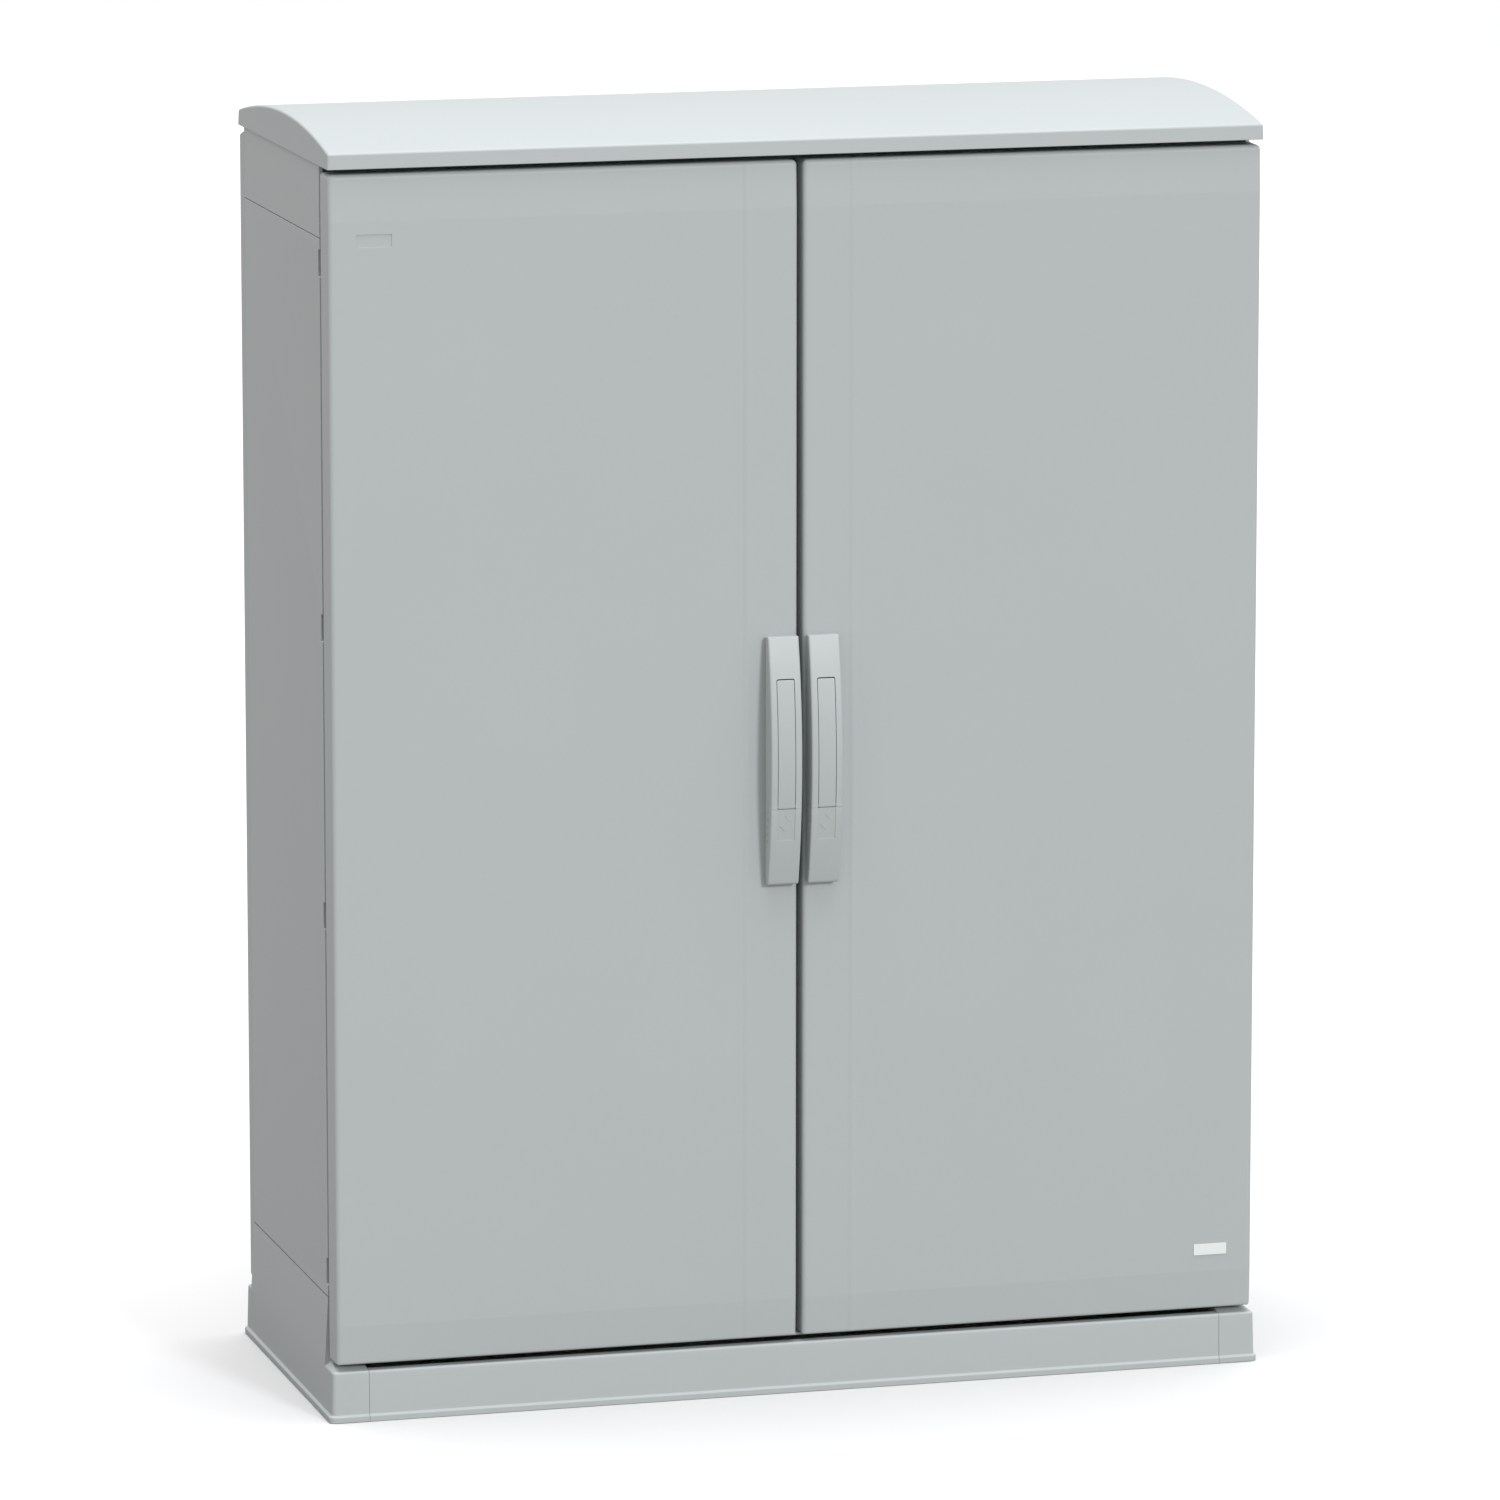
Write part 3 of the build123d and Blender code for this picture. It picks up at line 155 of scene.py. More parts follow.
def linear(red, green, blue):
    """Linear colour of an sRGB colour given in 0 to 255."""
    return tuple(
        (value / 255 / 12.92) if value <= 10 else ((value / 255 + 0.055) / 1.055) ** 2.4
        for value in (red, green, blue)
    )


def scaled(colour, factor):
    """Colour with its channels multiplied."""
    return tuple(channel * factor for channel in colour)


def new_material(name):
    """Empty material with its node helper and object coordinates."""
    material = bpy.data.materials.new(name)
    material.use_nodes = True
    nodes = Nodes(material.node_tree)
    place = nodes.add("ShaderNodeTexCoord").outputs["Object"]
    return material, nodes, place


def worn(nodes, base, pale):
    """Colour with convex edges painted slightly paler: a painted highlight along the edges."""
    bend = nodes.add("ShaderNodeNewGeometry").outputs["Pointiness"]
    highlit = nodes.remap(bend, *EDGE_BEND, 0.0, EDGE_HIGHLIGHT)
    return nodes.shade(base, pale, highlit)


def close_material(nodes, colour, roughness, height=None, distance=0.1 * MM, strength=1.0, **constants):
    """Principled shader fed with colour, roughness and bump; constants go on its own sockets."""
    shader = nodes.add("ShaderNodeBsdfPrincipled", {"Base Color": colour, "Roughness": roughness})
    for name, value in constants.items():
        shader.inputs[name.replace("_", " ")].default_value = value
    if height is not None:
        bump = nodes.add("ShaderNodeBump", {"Height": height, "Distance": distance, "Strength": strength})
        nodes.feed(shader, "Normal", bump.outputs["Normal"])
    output = nodes.add("ShaderNodeOutputMaterial")
    nodes.feed(output, "Surface", shader.outputs["BSDF"])


# ---- materials

def polyester(name, colour, roughness=0.5):
    """Moulded glass-fibre polyester: fibre print-through, fine orange peel, faint mottling."""
    material, nodes, place = new_material(name)
    cloud = nodes.noise(place, scale=5.0, detail=3.0)
    fibre = nodes.noise(place, scale=260.0, detail=4.0, roughness=0.62, distortion=1.6)
    peel = nodes.noise(place, scale=1150.0)
    tone = nodes.spread(nodes.blend((cloud, 0.45), (fibre, 0.55)))
    base = nodes.shade(scaled(colour, 0.985), scaled(colour, 1.015), tone)
    # Convex edges painted paler: a painted highlight.
    base = worn(nodes, base, scaled(colour, 1.1))
    sheen = nodes.spread(fibre, roughness - 0.03, roughness + 0.04)
    height = nodes.blend((fibre, 0.7), (peel, 0.3))
    close_material(
        nodes, base, sheen, height, distance=0.05 * MM, strength=0.55, IOR=1.5, Specular_IOR_Level=0.3,
    )
    return material


def polyamide(name, colour, roughness=0.42):
    """Injection-moulded plastic: fine spark-eroded texture and soft flow mottling."""
    material, nodes, place = new_material(name)
    flow = nodes.noise(place, scale=30.0, distortion=0.8)
    spark = nodes.noise(place, scale=2600.0, detail=3.0, roughness=0.6)
    base = nodes.shade(scaled(colour, 0.985), scaled(colour, 1.012), nodes.spread(flow))
    # Convex edges painted paler: a painted highlight.
    base = worn(nodes, base, scaled(colour, 1.12))
    sheen = nodes.spread(spark, roughness - 0.04, roughness + 0.05)
    close_material(nodes, base, sheen, spark, distance=0.02 * MM, strength=0.6, IOR=1.53)
    return material


def zinc_sheet(name, colour):
    """Zinc-plated sheet: faint spangle, light staining and rolling streaks."""
    material, nodes, place = new_material(name)
    cells = nodes.add("ShaderNodeTexVoronoi", {"Vector": place, "Scale": 90.0}, feature="F1")
    spangle = nodes.noise(cells.outputs["Color"], scale=3.0, detail=1.0)
    stretch = nodes.add("ShaderNodeMapping", {"Vector": place, "Scale": (900.0, 900.0, 14.0)})
    streak = nodes.noise(stretch.outputs["Vector"], scale=1.0, detail=3.0)
    stain = nodes.noise(place, scale=9.0, detail=4.0)
    tone = nodes.spread(nodes.blend((spangle, 0.5), (stain, 0.5)))
    base = nodes.shade(scaled(colour, 0.86), scaled(colour, 1.08), tone)
    sheen = nodes.spread(streak, 0.28, 0.46)
    close_material(nodes, base, sheen, streak, distance=0.02 * MM, strength=0.5, Metallic=1.0)
    return material


def turned_steel(name, colour):
    """Turned stainless steel: fine tool marks and a light tarnish."""
    material, nodes, place = new_material(name)
    marks = nodes.noise(place, scale=1800.0, detail=3.0, roughness=0.6)
    tarnish = nodes.noise(place, scale=60.0)
    base = nodes.shade(scaled(colour, 0.85), scaled(colour, 1.05), tarnish)
    sheen = nodes.spread(marks, 0.2, 0.34)
    close_material(nodes, base, sheen, marks, distance=0.01 * MM, strength=0.5, Metallic=1.0)
    return material


def die_cast(name, colour):
    """Die-cast zinc: soft casting grain and dull lustre."""
    material, nodes, place = new_material(name)
    grain = nodes.noise(place, scale=1400.0, detail=3.0, roughness=0.65)
    patches = nodes.noise(place, scale=120.0)
    base = nodes.shade(scaled(colour, 0.8), scaled(colour, 1.1), patches)
    sheen = nodes.spread(grain, 0.38, 0.52)
    close_material(nodes, base, sheen, grain, distance=0.03 * MM, strength=0.6, Metallic=1.0)
    return material


def foam(name, colour):
    """Foamed seal: matt, with small pores."""
    material, nodes, place = new_material(name)
    pores = nodes.add("ShaderNodeTexVoronoi", {"Vector": place, "Scale": 1500.0}, feature="F1")
    pore = nodes.remap(pores.outputs["Distance"], 0.1, 0.6, 0.0, 1.0)
    drift = nodes.noise(place, scale=45.0)
    base = nodes.shade(scaled(colour, 0.7), scaled(colour, 1.3), drift)
    sheen = nodes.remap(pore, 0.0, 1.0, 0.95, 0.8)
    close_material(nodes, base, sheen, pore, distance=0.1 * MM, strength=0.7)
    return material


def film(name, colour):
    """Plain pale film of the blank plate."""
    material, nodes, place = new_material(name)
    grain = nodes.noise(place, scale=1500.0)
    base = nodes.shade(scaled(colour, 0.98), scaled(colour, 1.01), grain)
    sheen = nodes.spread(grain, 0.3, 0.36)
    close_material(nodes, base, sheen, grain, distance=0.01 * MM, strength=0.4)
    return material


def floor_paint(name, seen, bounced):
    """Pale studio floor that throws back less light than it shows."""
    material, nodes, place = new_material(name)
    drift = nodes.noise(place, scale=2.0)
    base = nodes.shade(bounced, seen, nodes.add("ShaderNodeLightPath").outputs["Is Camera Ray"])
    sheen = nodes.spread(drift, 0.88, 0.92)
    close_material(nodes, base, sheen)
    return material


MATERIALS = {
    "body_polyester": polyester("body_polyester", linear(182, 188, 188)),
    "door_polyester": polyester("door_polyester", linear(181, 187, 187), 0.46),
    "frame_polyester": polyester("frame_polyester", linear(176, 181, 181), 0.55),
    "handle_polyamide": polyamide("handle_polyamide", linear(179, 185, 185)),
    "black_polyamide": polyamide("black_polyamide", linear(38, 38, 40), 0.5),
    "seal_foam": foam("seal_foam", linear(44, 44, 46)),
    "galvanised_steel": zinc_sheet("galvanised_steel", (0.56, 0.58, 0.60)),
    "stainless_steel": turned_steel("stainless_steel", (0.62, 0.61, 0.60)),
    "zinc_alloy": die_cast("zinc_alloy", (0.48, 0.49, 0.51)),
    "plate_film": film("plate_film", linear(235, 240, 238)),
}
SLOT_OF = {part["node"]: part["material_slot"] for part in frame["record"]["subparts"]}


# ---- mesh helpers

WEIGHTS = "bevel_weight_edge"


def add_modifier(piece, name, kind, **settings):
    """New modifier with its settings made."""
    modifier = piece.modifiers.new(name, kind)
    for key, value in settings.items():
        setattr(modifier, key, value)


def new_bmesh():
    """Empty bmesh that can carry bevel weights."""
    bm = bmesh.new()
    bm.edges.layers.float.new(WEIGHTS)
    return bm


def weigh(bm, edges, weight):
    """Set the bevel weight of some edges."""
    layer = bm.edges.layers.float[WEIGHTS]
    for edge in edges:
        edge[layer] = weight


def quad(bm, *corners):
    """Face between corners, unless two of them coincide."""
    if len(set(corners)) == len(corners):
        bm.faces.new(corners)


def build(node, bm, body, width=0.0, segments=3, soft_hard=0.0):
    """Turn a bmesh into the finished piece for a CAD node: bevel by edge weight, shading, finish, body.

    soft_hard is the bevel weight for hard edges that have none of their own; without it they stay sharp.
    """
    bmesh.ops.remove_doubles(bm, verts=bm.verts, dist=1e-7)
    bmesh.ops.recalc_face_normals(bm, faces=bm.faces)
    layer = bm.edges.layers.float[WEIGHTS]
    for edge in bm.edges:
        hard = len(edge.link_faces) == 2 and edge.calc_face_angle() > SHARP_ANGLE
        if hard and edge[layer] == 0.0:
            edge[layer] = soft_hard
            edge.smooth = soft_hard > 0.0
    for face in bm.faces:
        face.smooth = True
    name = "visual_" + node
    slot = SLOT_OF[node]
    mesh = bpy.data.meshes.new(name)
    bm.to_mesh(mesh)
    bm.free()
    piece = bpy.data.objects.new(name, mesh)
    bpy.context.scene.collection.objects.link(piece)
    mesh.materials.append(MATERIALS[slot])
    if width:
        add_modifier(
            piece, "edges", "BEVEL", width=width, segments=segments, limit_method="WEIGHT",
            miter_outer="MITER_ARC", use_clamp_overlap=False,
        )
    add_modifier(piece, "normals", "WEIGHTED_NORMAL", keep_sharp=True, weight=90)
    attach(piece, body)
    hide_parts(node)


def pan_cells(xs, zs, hole):
    """Grid cells of a pan outside its hole, each as (i, j) of its low corner."""
    cells = []
    for i in range(len(xs) - 1):
        for j in range(len(zs) - 1):
            x = (xs[i] + xs[i + 1]) / 2
            z = (zs[j] + zs[j + 1]) / 2
            if not (hole and hole[0] < x < hole[1] and hole[2] < z < hole[3]):
                cells.append((i, j))
    return cells


def cell_corners(cell):
    """Four grid corners of a cell, in turn."""
    i, j = cell
    return (i, j), (i + 1, j), (i + 1, j + 1), (i, j + 1)


def pan_rims(cells, last_x, last_z):
    """Free edges of the cells as pairs of corners: those on the grid's edge, and those round the hole."""
    filled = set(cells)
    outer, inner = [], []
    for cell in cells:
        i, j = cell
        corners = cell_corners(cell)
        for k, beyond in enumerate(((i, j - 1), (i + 1, j), (i, j + 1), (i - 1, j))):
            if beyond in filled:
                continue
            in_grid = 0 <= beyond[0] < last_x and 0 <= beyond[1] < last_z
            (inner if in_grid else outer).append((corners[k], corners[(k + 1) % 4]))
    return outer, inner


def weigh_outer_rim(bm, outer, face, rear_of, last, rim, rear):
    """Bevel weights of a pan's front rim, rear rim and upright corners."""
    for pair in outer:
        if pair[0][0] == pair[1][0]:
            weight = rim[0] if pair[0][0] == 0 else rim[1]
        else:
            weight = rim[2] if pair[0][1] == 0 else rim[3]
        weigh(bm, [bm.edges.get([face[c] for c in pair])], weight)
        weigh(bm, [bm.edges.get([rear_of[c] for c in pair])], rear)
    for i, weight_x in ((0, rim[0]), (last[0], rim[1])):
        for j, weight_z in ((0, rim[2]), (last[1], rim[3])):
            if (i, j) in rear_of:
                weigh(bm, [bm.edges.get((face[i, j], rear_of[i, j]))], min(weight_x, weight_z))


def weigh_hole(bm, inner, face, pocket, hole_corner, hole_rim):
    """Bevel weights round a pan's hole: along its rim, and on its corners."""
    for pair in inner:
        weigh(bm, [bm.edges.get([face[c] for c in pair])], hole_rim)
    for c in {c for pair in inner for c in pair}:
        directions = {a[0] == b[0] for a, b in inner if c in (a, b)}
        if len(directions) == 2:
            weigh(bm, [bm.edges.get((face[c], pocket[c]))], hole_corner)


def pan(xs, zs, front, back, wall, skin, hole=None, rim=(1.0, 1.0, 1.0, 1.0), rear=0.0, hole_corner=0.0,
        hole_rim=0.0):
    """Shell over the grid xs by zs: a front face, walls round it and a hollow back.

    front(x, z) is the face, back(x, z) the rear rim, wall the wall's thickness and skin the front's, all
    along Y. hole is (x0, x1, z0, z1), with limits on grid lines; it may reach the grid's edge.
    rim holds bevel weights of the front rim at low x, high x, low z and high z; a corner takes the lower.
    """
    bm = new_bmesh()
    across = sorted((xs[0] + wall, xs[-1] - wall))
    along = (zs[0] + wall, zs[-1] - wall)
    last = (len(xs) - 1, len(zs) - 1)
    face, pocket, rear_of, rim_of = {}, {}, {}, {}

    def inside(c):
        """Place of a grid corner, moved inside the walls."""
        return clamp(xs[c[0]], *across), clamp(zs[c[1]], *along)

    def backs(c):
        """Outer and inner corner of the rear rim behind a grid corner."""
        if c not in rear_of:
            x, z = xs[c[0]], zs[c[1]]
            place = inside(c)
            rear_of[c] = bm.verts.new((x, back(x, z), z))
            rim_of[c] = bm.verts.new((place[0], back(*place), place[1]))
        return rear_of[c], rim_of[c]

    for i, x in enumerate(xs):
        for j, z in enumerate(zs):
            face[i, j] = bm.verts.new((x, front(x, z), z))
            place = inside((i, j))
            pocket[i, j] = bm.verts.new((place[0], front(*place) + skin, place[1]))
    cells = pan_cells(xs, zs, hole)
    for cell in cells:
        corners = cell_corners(cell)
        bm.faces.new([face[c] for c in corners])
        bm.faces.new([pocket[c] for c in reversed(corners)])
    outer, inner = pan_rims(cells, *last)
    for here, there in outer:
        rear_here, rim_here = backs(here)
        rear_there, rim_there = backs(there)
        quad(bm, face[here], face[there], rear_there, rear_here)
        quad(bm, rear_here, rear_there, rim_there, rim_here)
        quad(bm, rim_here, rim_there, pocket[there], pocket[here])
    for here, there in inner:
        quad(bm, face[here], face[there], pocket[there], pocket[here])
        for c in (here, there):
            if c in rear_of:
                quad(bm, face[c], rear_of[c], rim_of[c], pocket[c])
    weigh_outer_rim(bm, outer, face, rear_of, last, rim, rear)
    weigh_hole(bm, inner, face, pocket, hole_corner, hole_rim)
    loose = [vert for vert in bm.verts if not vert.link_faces]
    bmesh.ops.delete(bm, geom=loose, context="VERTS")
    return bm


def band(bm, near, far):
    """Faces between two closed rows of corners."""
    for k in range(len(near)):
        after = (k + 1) % len(near)
        quad(bm, near[k], near[after], far[after], far[k])


def close_solid(bm, near, far):
    """Both end faces and the sides of a solid between two rows of corners."""
    bm.faces.new(near)
    bm.faces.new(list(reversed(far)))
    for k in range(len(near)):
        after = (k + 1) % len(near)
        bm.faces.new((near[after], near[k], far[k], far[after]))


def prism(outline, low, high, weight=0.0):
    """Solid with an outline of (y, z), carried along X; weight is the bevel weight of all its edges."""
    bm = new_bmesh()
    near = [bm.verts.new((low, y, z)) for y, z in outline]
    far = [bm.verts.new((high, y, z)) for y, z in outline]
    close_solid(bm, near, far)
    weigh(bm, bm.edges, weight)
    return bm


def join(target, other):
    """Move the faces of one bmesh into another."""
    layer = target.edges.layers.float[WEIGHTS]
    source = other.edges.layers.float[WEIGHTS]
    copies = {vert: target.verts.new(vert.co) for vert in other.verts}
    for face in other.faces:
        target.faces.new([copies[vert] for vert in face.verts])
    for edge in other.edges:
        match = target.edges.get([copies[vert] for vert in edge.verts])
        if match:
            match[layer] = edge[source]
    other.free()


def shape_along(rows, ring=False):
    """Surface through rows of points, each row a closed profile, with flat ends or joined to a ring."""
    bm = new_bmesh()
    lines = [[bm.verts.new(point) for point in row] for row in rows]
    pairs = list(zip(lines, lines[1:]))
    if ring:
        pairs.append((lines[-1], lines[0]))
    for first, second in pairs:
        band(bm, first, second)
    if not ring:
        bm.faces.new(lines[0])
        bm.faces.new(list(reversed(lines[-1])))
    return bm


def arc_points(centre, radius, start, end, count):
    """Points on an arc between two angles in degrees, both included."""
    points = []
    for angle in ramp(math.radians(start), math.radians(end), count):
        points.append((centre[0] + radius * math.cos(angle), centre[1] + radius * math.sin(angle)))
    return points


def mirror_x(side):
    """+1 for the right-hand pieces, -1 for the left-hand ones."""
    return 1.0 if side == "right" else -1.0


def flip(bm, sign):
    """Mirror a right-hand bmesh in the YZ plane when sign is negative."""
    if sign < 0:
        for vert in bm.verts:
            vert.co.x = -vert.co.x
        bmesh.ops.reverse_faces(bm, faces=bm.faces)


# ---- doors

BAND_SETBACK = 1.8 * MM
BAND_TOP = 48.5 * MM
BAND_BOTTOM = 41.0 * MM
BAND_SOFTNESS = 0.5 * MM
BEAD_X = 57.2 * MM
BEAD_HALF = 6.0 * MM
BEAD_HEIGHT = 0.65 * MM
LABEL_X = (433.2 * MM, 470.7 * MM)
LABEL_Z = (1231.3 * MM, 1245.0 * MM)
LABEL_DEPTH = 0.8 * MM
LABEL_SLOPE = 0.35 * MM
DOOR_RADIUS = 5.0 * MM
DOOR_WALL = 3.0 * MM
DOOR_SKIN = 3.5 * MM
DOOR_RIM = (1.0, 1.0, 0.5, 1.0)
DOOR_REAR_RIM = 0.16
SPINDLE_HALF = 8.5 * MM
# Grid lines: beside the rounded edges, between handle and bead, and the limits of the even field.
EDGE_LINE = 9 * MM
BESIDE_BEAD = 40 * MM
DOOR_FIELD_X = (80 * MM, 36 * MM)
DOOR_FIELD_Z = (60 * MM, 80 * MM)


def bent(distance, slope, softness):
    """Set-back beyond a soft bend: flat before it, sloping after it."""
    if distance <= -softness:
        return 0.0
    if distance >= softness:
        return slope * distance
    return slope * (distance + softness) ** 2 / (4 * softness)


def spindle_hole():
    """Square hole for the spindle in the right door, as (x0, x1, z0, z1)."""
    low, high = box_of("spindle_right")
    x = (low.x + high.x) / 2
    z = (low.z + high.z) / 2
    return x - SPINDLE_HALF, x + SPINDLE_HALF, z - SPINDLE_HALF, z + SPINDLE_HALF


def door_front(low, high, has_label):
    """Function of (x, z) that gives a door's face: flat field, sloping bands, seal bead and recess."""
    band_top = high.z - BAND_TOP
    band_bottom = low.z + BAND_BOTTOM

    def face_y(x, z):
        setback = bent(z - band_top, BAND_SETBACK / BAND_TOP, BAND_SOFTNESS)
        setback += bent(band_bottom - z, BAND_SETBACK / BAND_BOTTOM, BAND_SOFTNESS)
        offset = abs(x - BEAD_X) / BEAD_HALF
        bead = BEAD_HEIGHT * math.cos(offset * math.pi / 2) ** 2 if offset < 1 else 0.0
        sunk = 0.0
        if has_label:
            inside = min(x - LABEL_X[0], LABEL_X[1] - x, z - LABEL_Z[0], LABEL_Z[1] - z)
            sunk = LABEL_DEPTH if inside > LABEL_SLOPE / 2 else 0.0
        return low.y + BEAD_HEIGHT + setback - bead + sunk

    return face_y


def door_grid(low, high, hole, has_label):
    """Grid lines of a door along X and along Z, close together where its face bends."""
    near_x = min(abs(low.x), abs(high.x))
    far_x = max(abs(low.x), abs(high.x))
    across = [near_x, near_x + EDGE_LINE, hole[0], hole[1], BESIDE_BEAD, far_x - EDGE_LINE, far_x]
    across += ramp(BEAD_X - BEAD_HALF, BEAD_X + BEAD_HALF, 12)
    across += ramp(DOOR_FIELD_X[0], far_x - DOOR_FIELD_X[1], 14)
    levels = [low.z, low.z + EDGE_LINE, hole[2], hole[3], high.z - EDGE_LINE, high.z]
    for bend in (low.z + BAND_BOTTOM, high.z - BAND_TOP):
        levels += ramp(bend - BAND_SOFTNESS, bend + BAND_SOFTNESS, 8)
    levels += ramp(low.z + DOOR_FIELD_Z[0], high.z - DOOR_FIELD_Z[1], 30)
    if has_label:
        shifts = (0.0, LABEL_SLOPE, -LABEL_SLOPE)
        across += [edge + shift for edge in LABEL_X for shift in shifts]
        levels += [edge + shift for edge in LABEL_Z for shift in shifts]
    return merged(across), merged(levels)


def door_shell(side):
    """One door: bent face, rounded edges, hollow back and a hole for the spindle."""
    node = "door_shell_" + side
    low, high = box_of(node)
    has_label = side == "left"
    hole = spindle_hole()
    bm = pan(
        *door_grid(low, high, hole, has_label), door_front(low, high, has_label), lambda x, z: high.y,
        DOOR_WALL, DOOR_SKIN, hole=hole, rim=DOOR_RIM, rear=DOOR_REAR_RIM,
    )
    flip(bm, mirror_x(side))
    build(node, bm, "door_" + side, DOOR_RADIUS, 6)


# ---- canopy

CANOPY_EDGE = 16.5 * MM
CANOPY_DRAFT = 0.6 * MM
CANOPY_WALL = 4.0 * MM
CANOPY_SOFT = 2.4 * MM
CANOPY_CRISP = 0.3
ARCH_STEPS = 56


def arch_outline(half_y, bottom, eaves, rise):
    """Outline of (y, z) from the rear bottom corner over the arch to the front bottom corner."""
    chord = half_y - CANOPY_DRAFT
    radius = (chord ** 2 + rise ** 2) / (2 * rise)
    centre_z = eaves + rise - radius
    reach = math.asin(chord / radius)
    arc = []
    for angle in ramp(reach, -reach, ARCH_STEPS):
        arc.append((radius * math.sin(angle), centre_z + radius * math.cos(angle)))
    return [(half_y, bottom)] + arc + [(-half_y, bottom)]


def canopy_skins(bm, bottom, outer, inner, half_x):
    """Outer and inner arch with their ends; returns each end's row of corners by (layer, end)."""
    rows = {}
    for layer, outline, half in (("out", outer, half_x), ("in", inner, half_x - CANOPY_WALL)):
        for end in (-1, 1):
            rows[layer, end] = [
                bm.verts.new((end * (half - CANOPY_DRAFT * (z - bottom) / CANOPY_EDGE), y, z))
                for y, z in outline
            ]
        left, right = rows[layer, -1], rows[layer, 1]
        for index in range(len(outline) - 1):
            quad(bm, left[index], right[index], right[index + 1], left[index + 1])
        bm.faces.new(left)
        bm.faces.new(list(reversed(right)))
    return rows


def close_rim(bm, rows):
    """Flat rim between the two arches, along the bottom."""
    loop = {}
    for layer in ("out", "in"):
        left, right = rows[layer, -1], rows[layer, 1]
        loop[layer] = [left[0], right[0], right[-1], left[-1]]
    band(bm, loop["out"], loop["in"])


def weigh_canopy(bm, left, right):
    """Soft edges round the arch and along the eaves, crisp ones along the bottom."""
    soft, crisp = [], []
    for row in (left, right):
        soft += [bm.edges.get((a, b)) for a, b in zip(row, row[1:])]
        crisp.append(bm.edges.get((row[0], row[-1])))
    soft += [bm.edges.get((left[k], right[k])) for k in (1, -2)]
    crisp += [bm.edges.get((left[k], right[k])) for k in (0, -1)]
    weigh(bm, soft, 1.0)
    weigh(bm, crisp, CANOPY_CRISP)


def canopy():
    """Arched rain canopy: outer and inner arches joined along the bottom rim."""
    high = box_of("canopy")[1]
    bottom = box_of("top_side_left")[1].z
    eaves = bottom + CANOPY_EDGE
    rise = high.z - eaves
    outer = arch_outline(high.y, bottom, eaves, rise)
    inner = arch_outline(high.y - CANOPY_WALL, bottom, eaves - CANOPY_WALL + CANOPY_DRAFT, rise)
    bm = new_bmesh()
    rows = canopy_skins(bm, bottom, outer, inner, high.x)
    close_rim(bm, rows)
    weigh_canopy(bm, rows["out", -1], rows["out", 1])
    build("canopy", bm, "root", CANOPY_SOFT, 5)


# ---- plinth

PLINTH_DRAFT = math.tan(math.radians(1.6))
PLINTH_WALL = 4.0 * MM
PLINTH_TOP = 54.0 * MM
PLINTH_CORNER = 5.0 * MM
PLINTH_SOFT = 2.5 * MM
FLANGE_TOP = 7.0 * MM
FLANGE_SOFT = 1.6 * MM
FLANGE_REACH_X = 2.5 * MM
FLANGE_REACH_Y = 1.5 * MM
FLANGE_ARC = 50
WALL = 4.5 * MM
CHAMFER = 0.4 * MM
WALL_LEVELS = (FLANGE_TOP + 1.1 * MM, FLANGE_TOP + 1.6 * MM, 20 * MM, 36 * MM, 49 * MM)
WALL_PARTS = (0.25, 0.5, 0.75)
WALL_RETURN = 4 * MM
INNER_TAPER = 0.1 * MM
CORNER_CORE = 0.5 * MM
PANEL_SEAM = 0.25 * MM
CORNER_MARGIN = 8 * MM
BEFORE_WALL_Y = -180 * MM
# Cap of a corner post: heights of its ridge, edge and foot, its ridge and foot along X, how far its ridge
# stands beyond the wall's front edge, and its overlap with the post.
CAP_TOP = 58 * MM
CAP_EDGE = PLINTH_TOP - 0.1 * MM
CAP_FOOT = PLINTH_TOP - 6 * MM
CAP_RIDGE_X = 497 * MM
CAP_FOOT_X = 502 * MM
CAP_RIDGE_Y = 10 * MM
CAP_OVERLAP = 1.2 * MM
# Lip along the top of a removable panel.
LIP_REACH = 14 * MM
LIP_HEIGHT = 3.5 * MM
LIP_ROOT = 1.6 * MM
PANEL_EDGE = 0.3 * MM


def segment_profile(top):
    """Upper part of a plinth cheek's profile: the lowest segment of the side wall, and its inside."""
    body = box_of("side_panel_right")[1].x - box_of("plinth_side_right")[1].x + FLANGE_REACH_X
    seam = box_of("plinth_side_right")[1].z
    profile = [(top, top, PLINTH_TOP)]
    for part in WALL_PARTS:
        offset = top + (body - top) * part
        profile.append((offset, offset, PLINTH_TOP + (seam - PLINTH_TOP) * part))
    profile += [(body, body, seam - CHAMFER), (body - CHAMFER, body - CHAMFER, seam)]
    profile += [(body - WALL, body - WALL, seam), (body - WALL, body - WALL, PLINTH_TOP + WALL_RETURN)]
    return profile


def edge_profile(top):
    """Upper part of a profile that ends at the plinth's rounded top edge."""
    profile = []
    for along, z in arc_points((0.0, PLINTH_TOP - PLINTH_SOFT), PLINTH_SOFT, 0, 90, 5):
        profile.append((top - PLINTH_SOFT + along, top - PLINTH_SOFT + along, z))
    inner = top - PLINTH_WALL
    tapered = inner + INNER_TAPER
    return profile + [(inner, inner, PLINTH_TOP), (tapered, tapered, PLINTH_TOP - WALL_RETURN)]


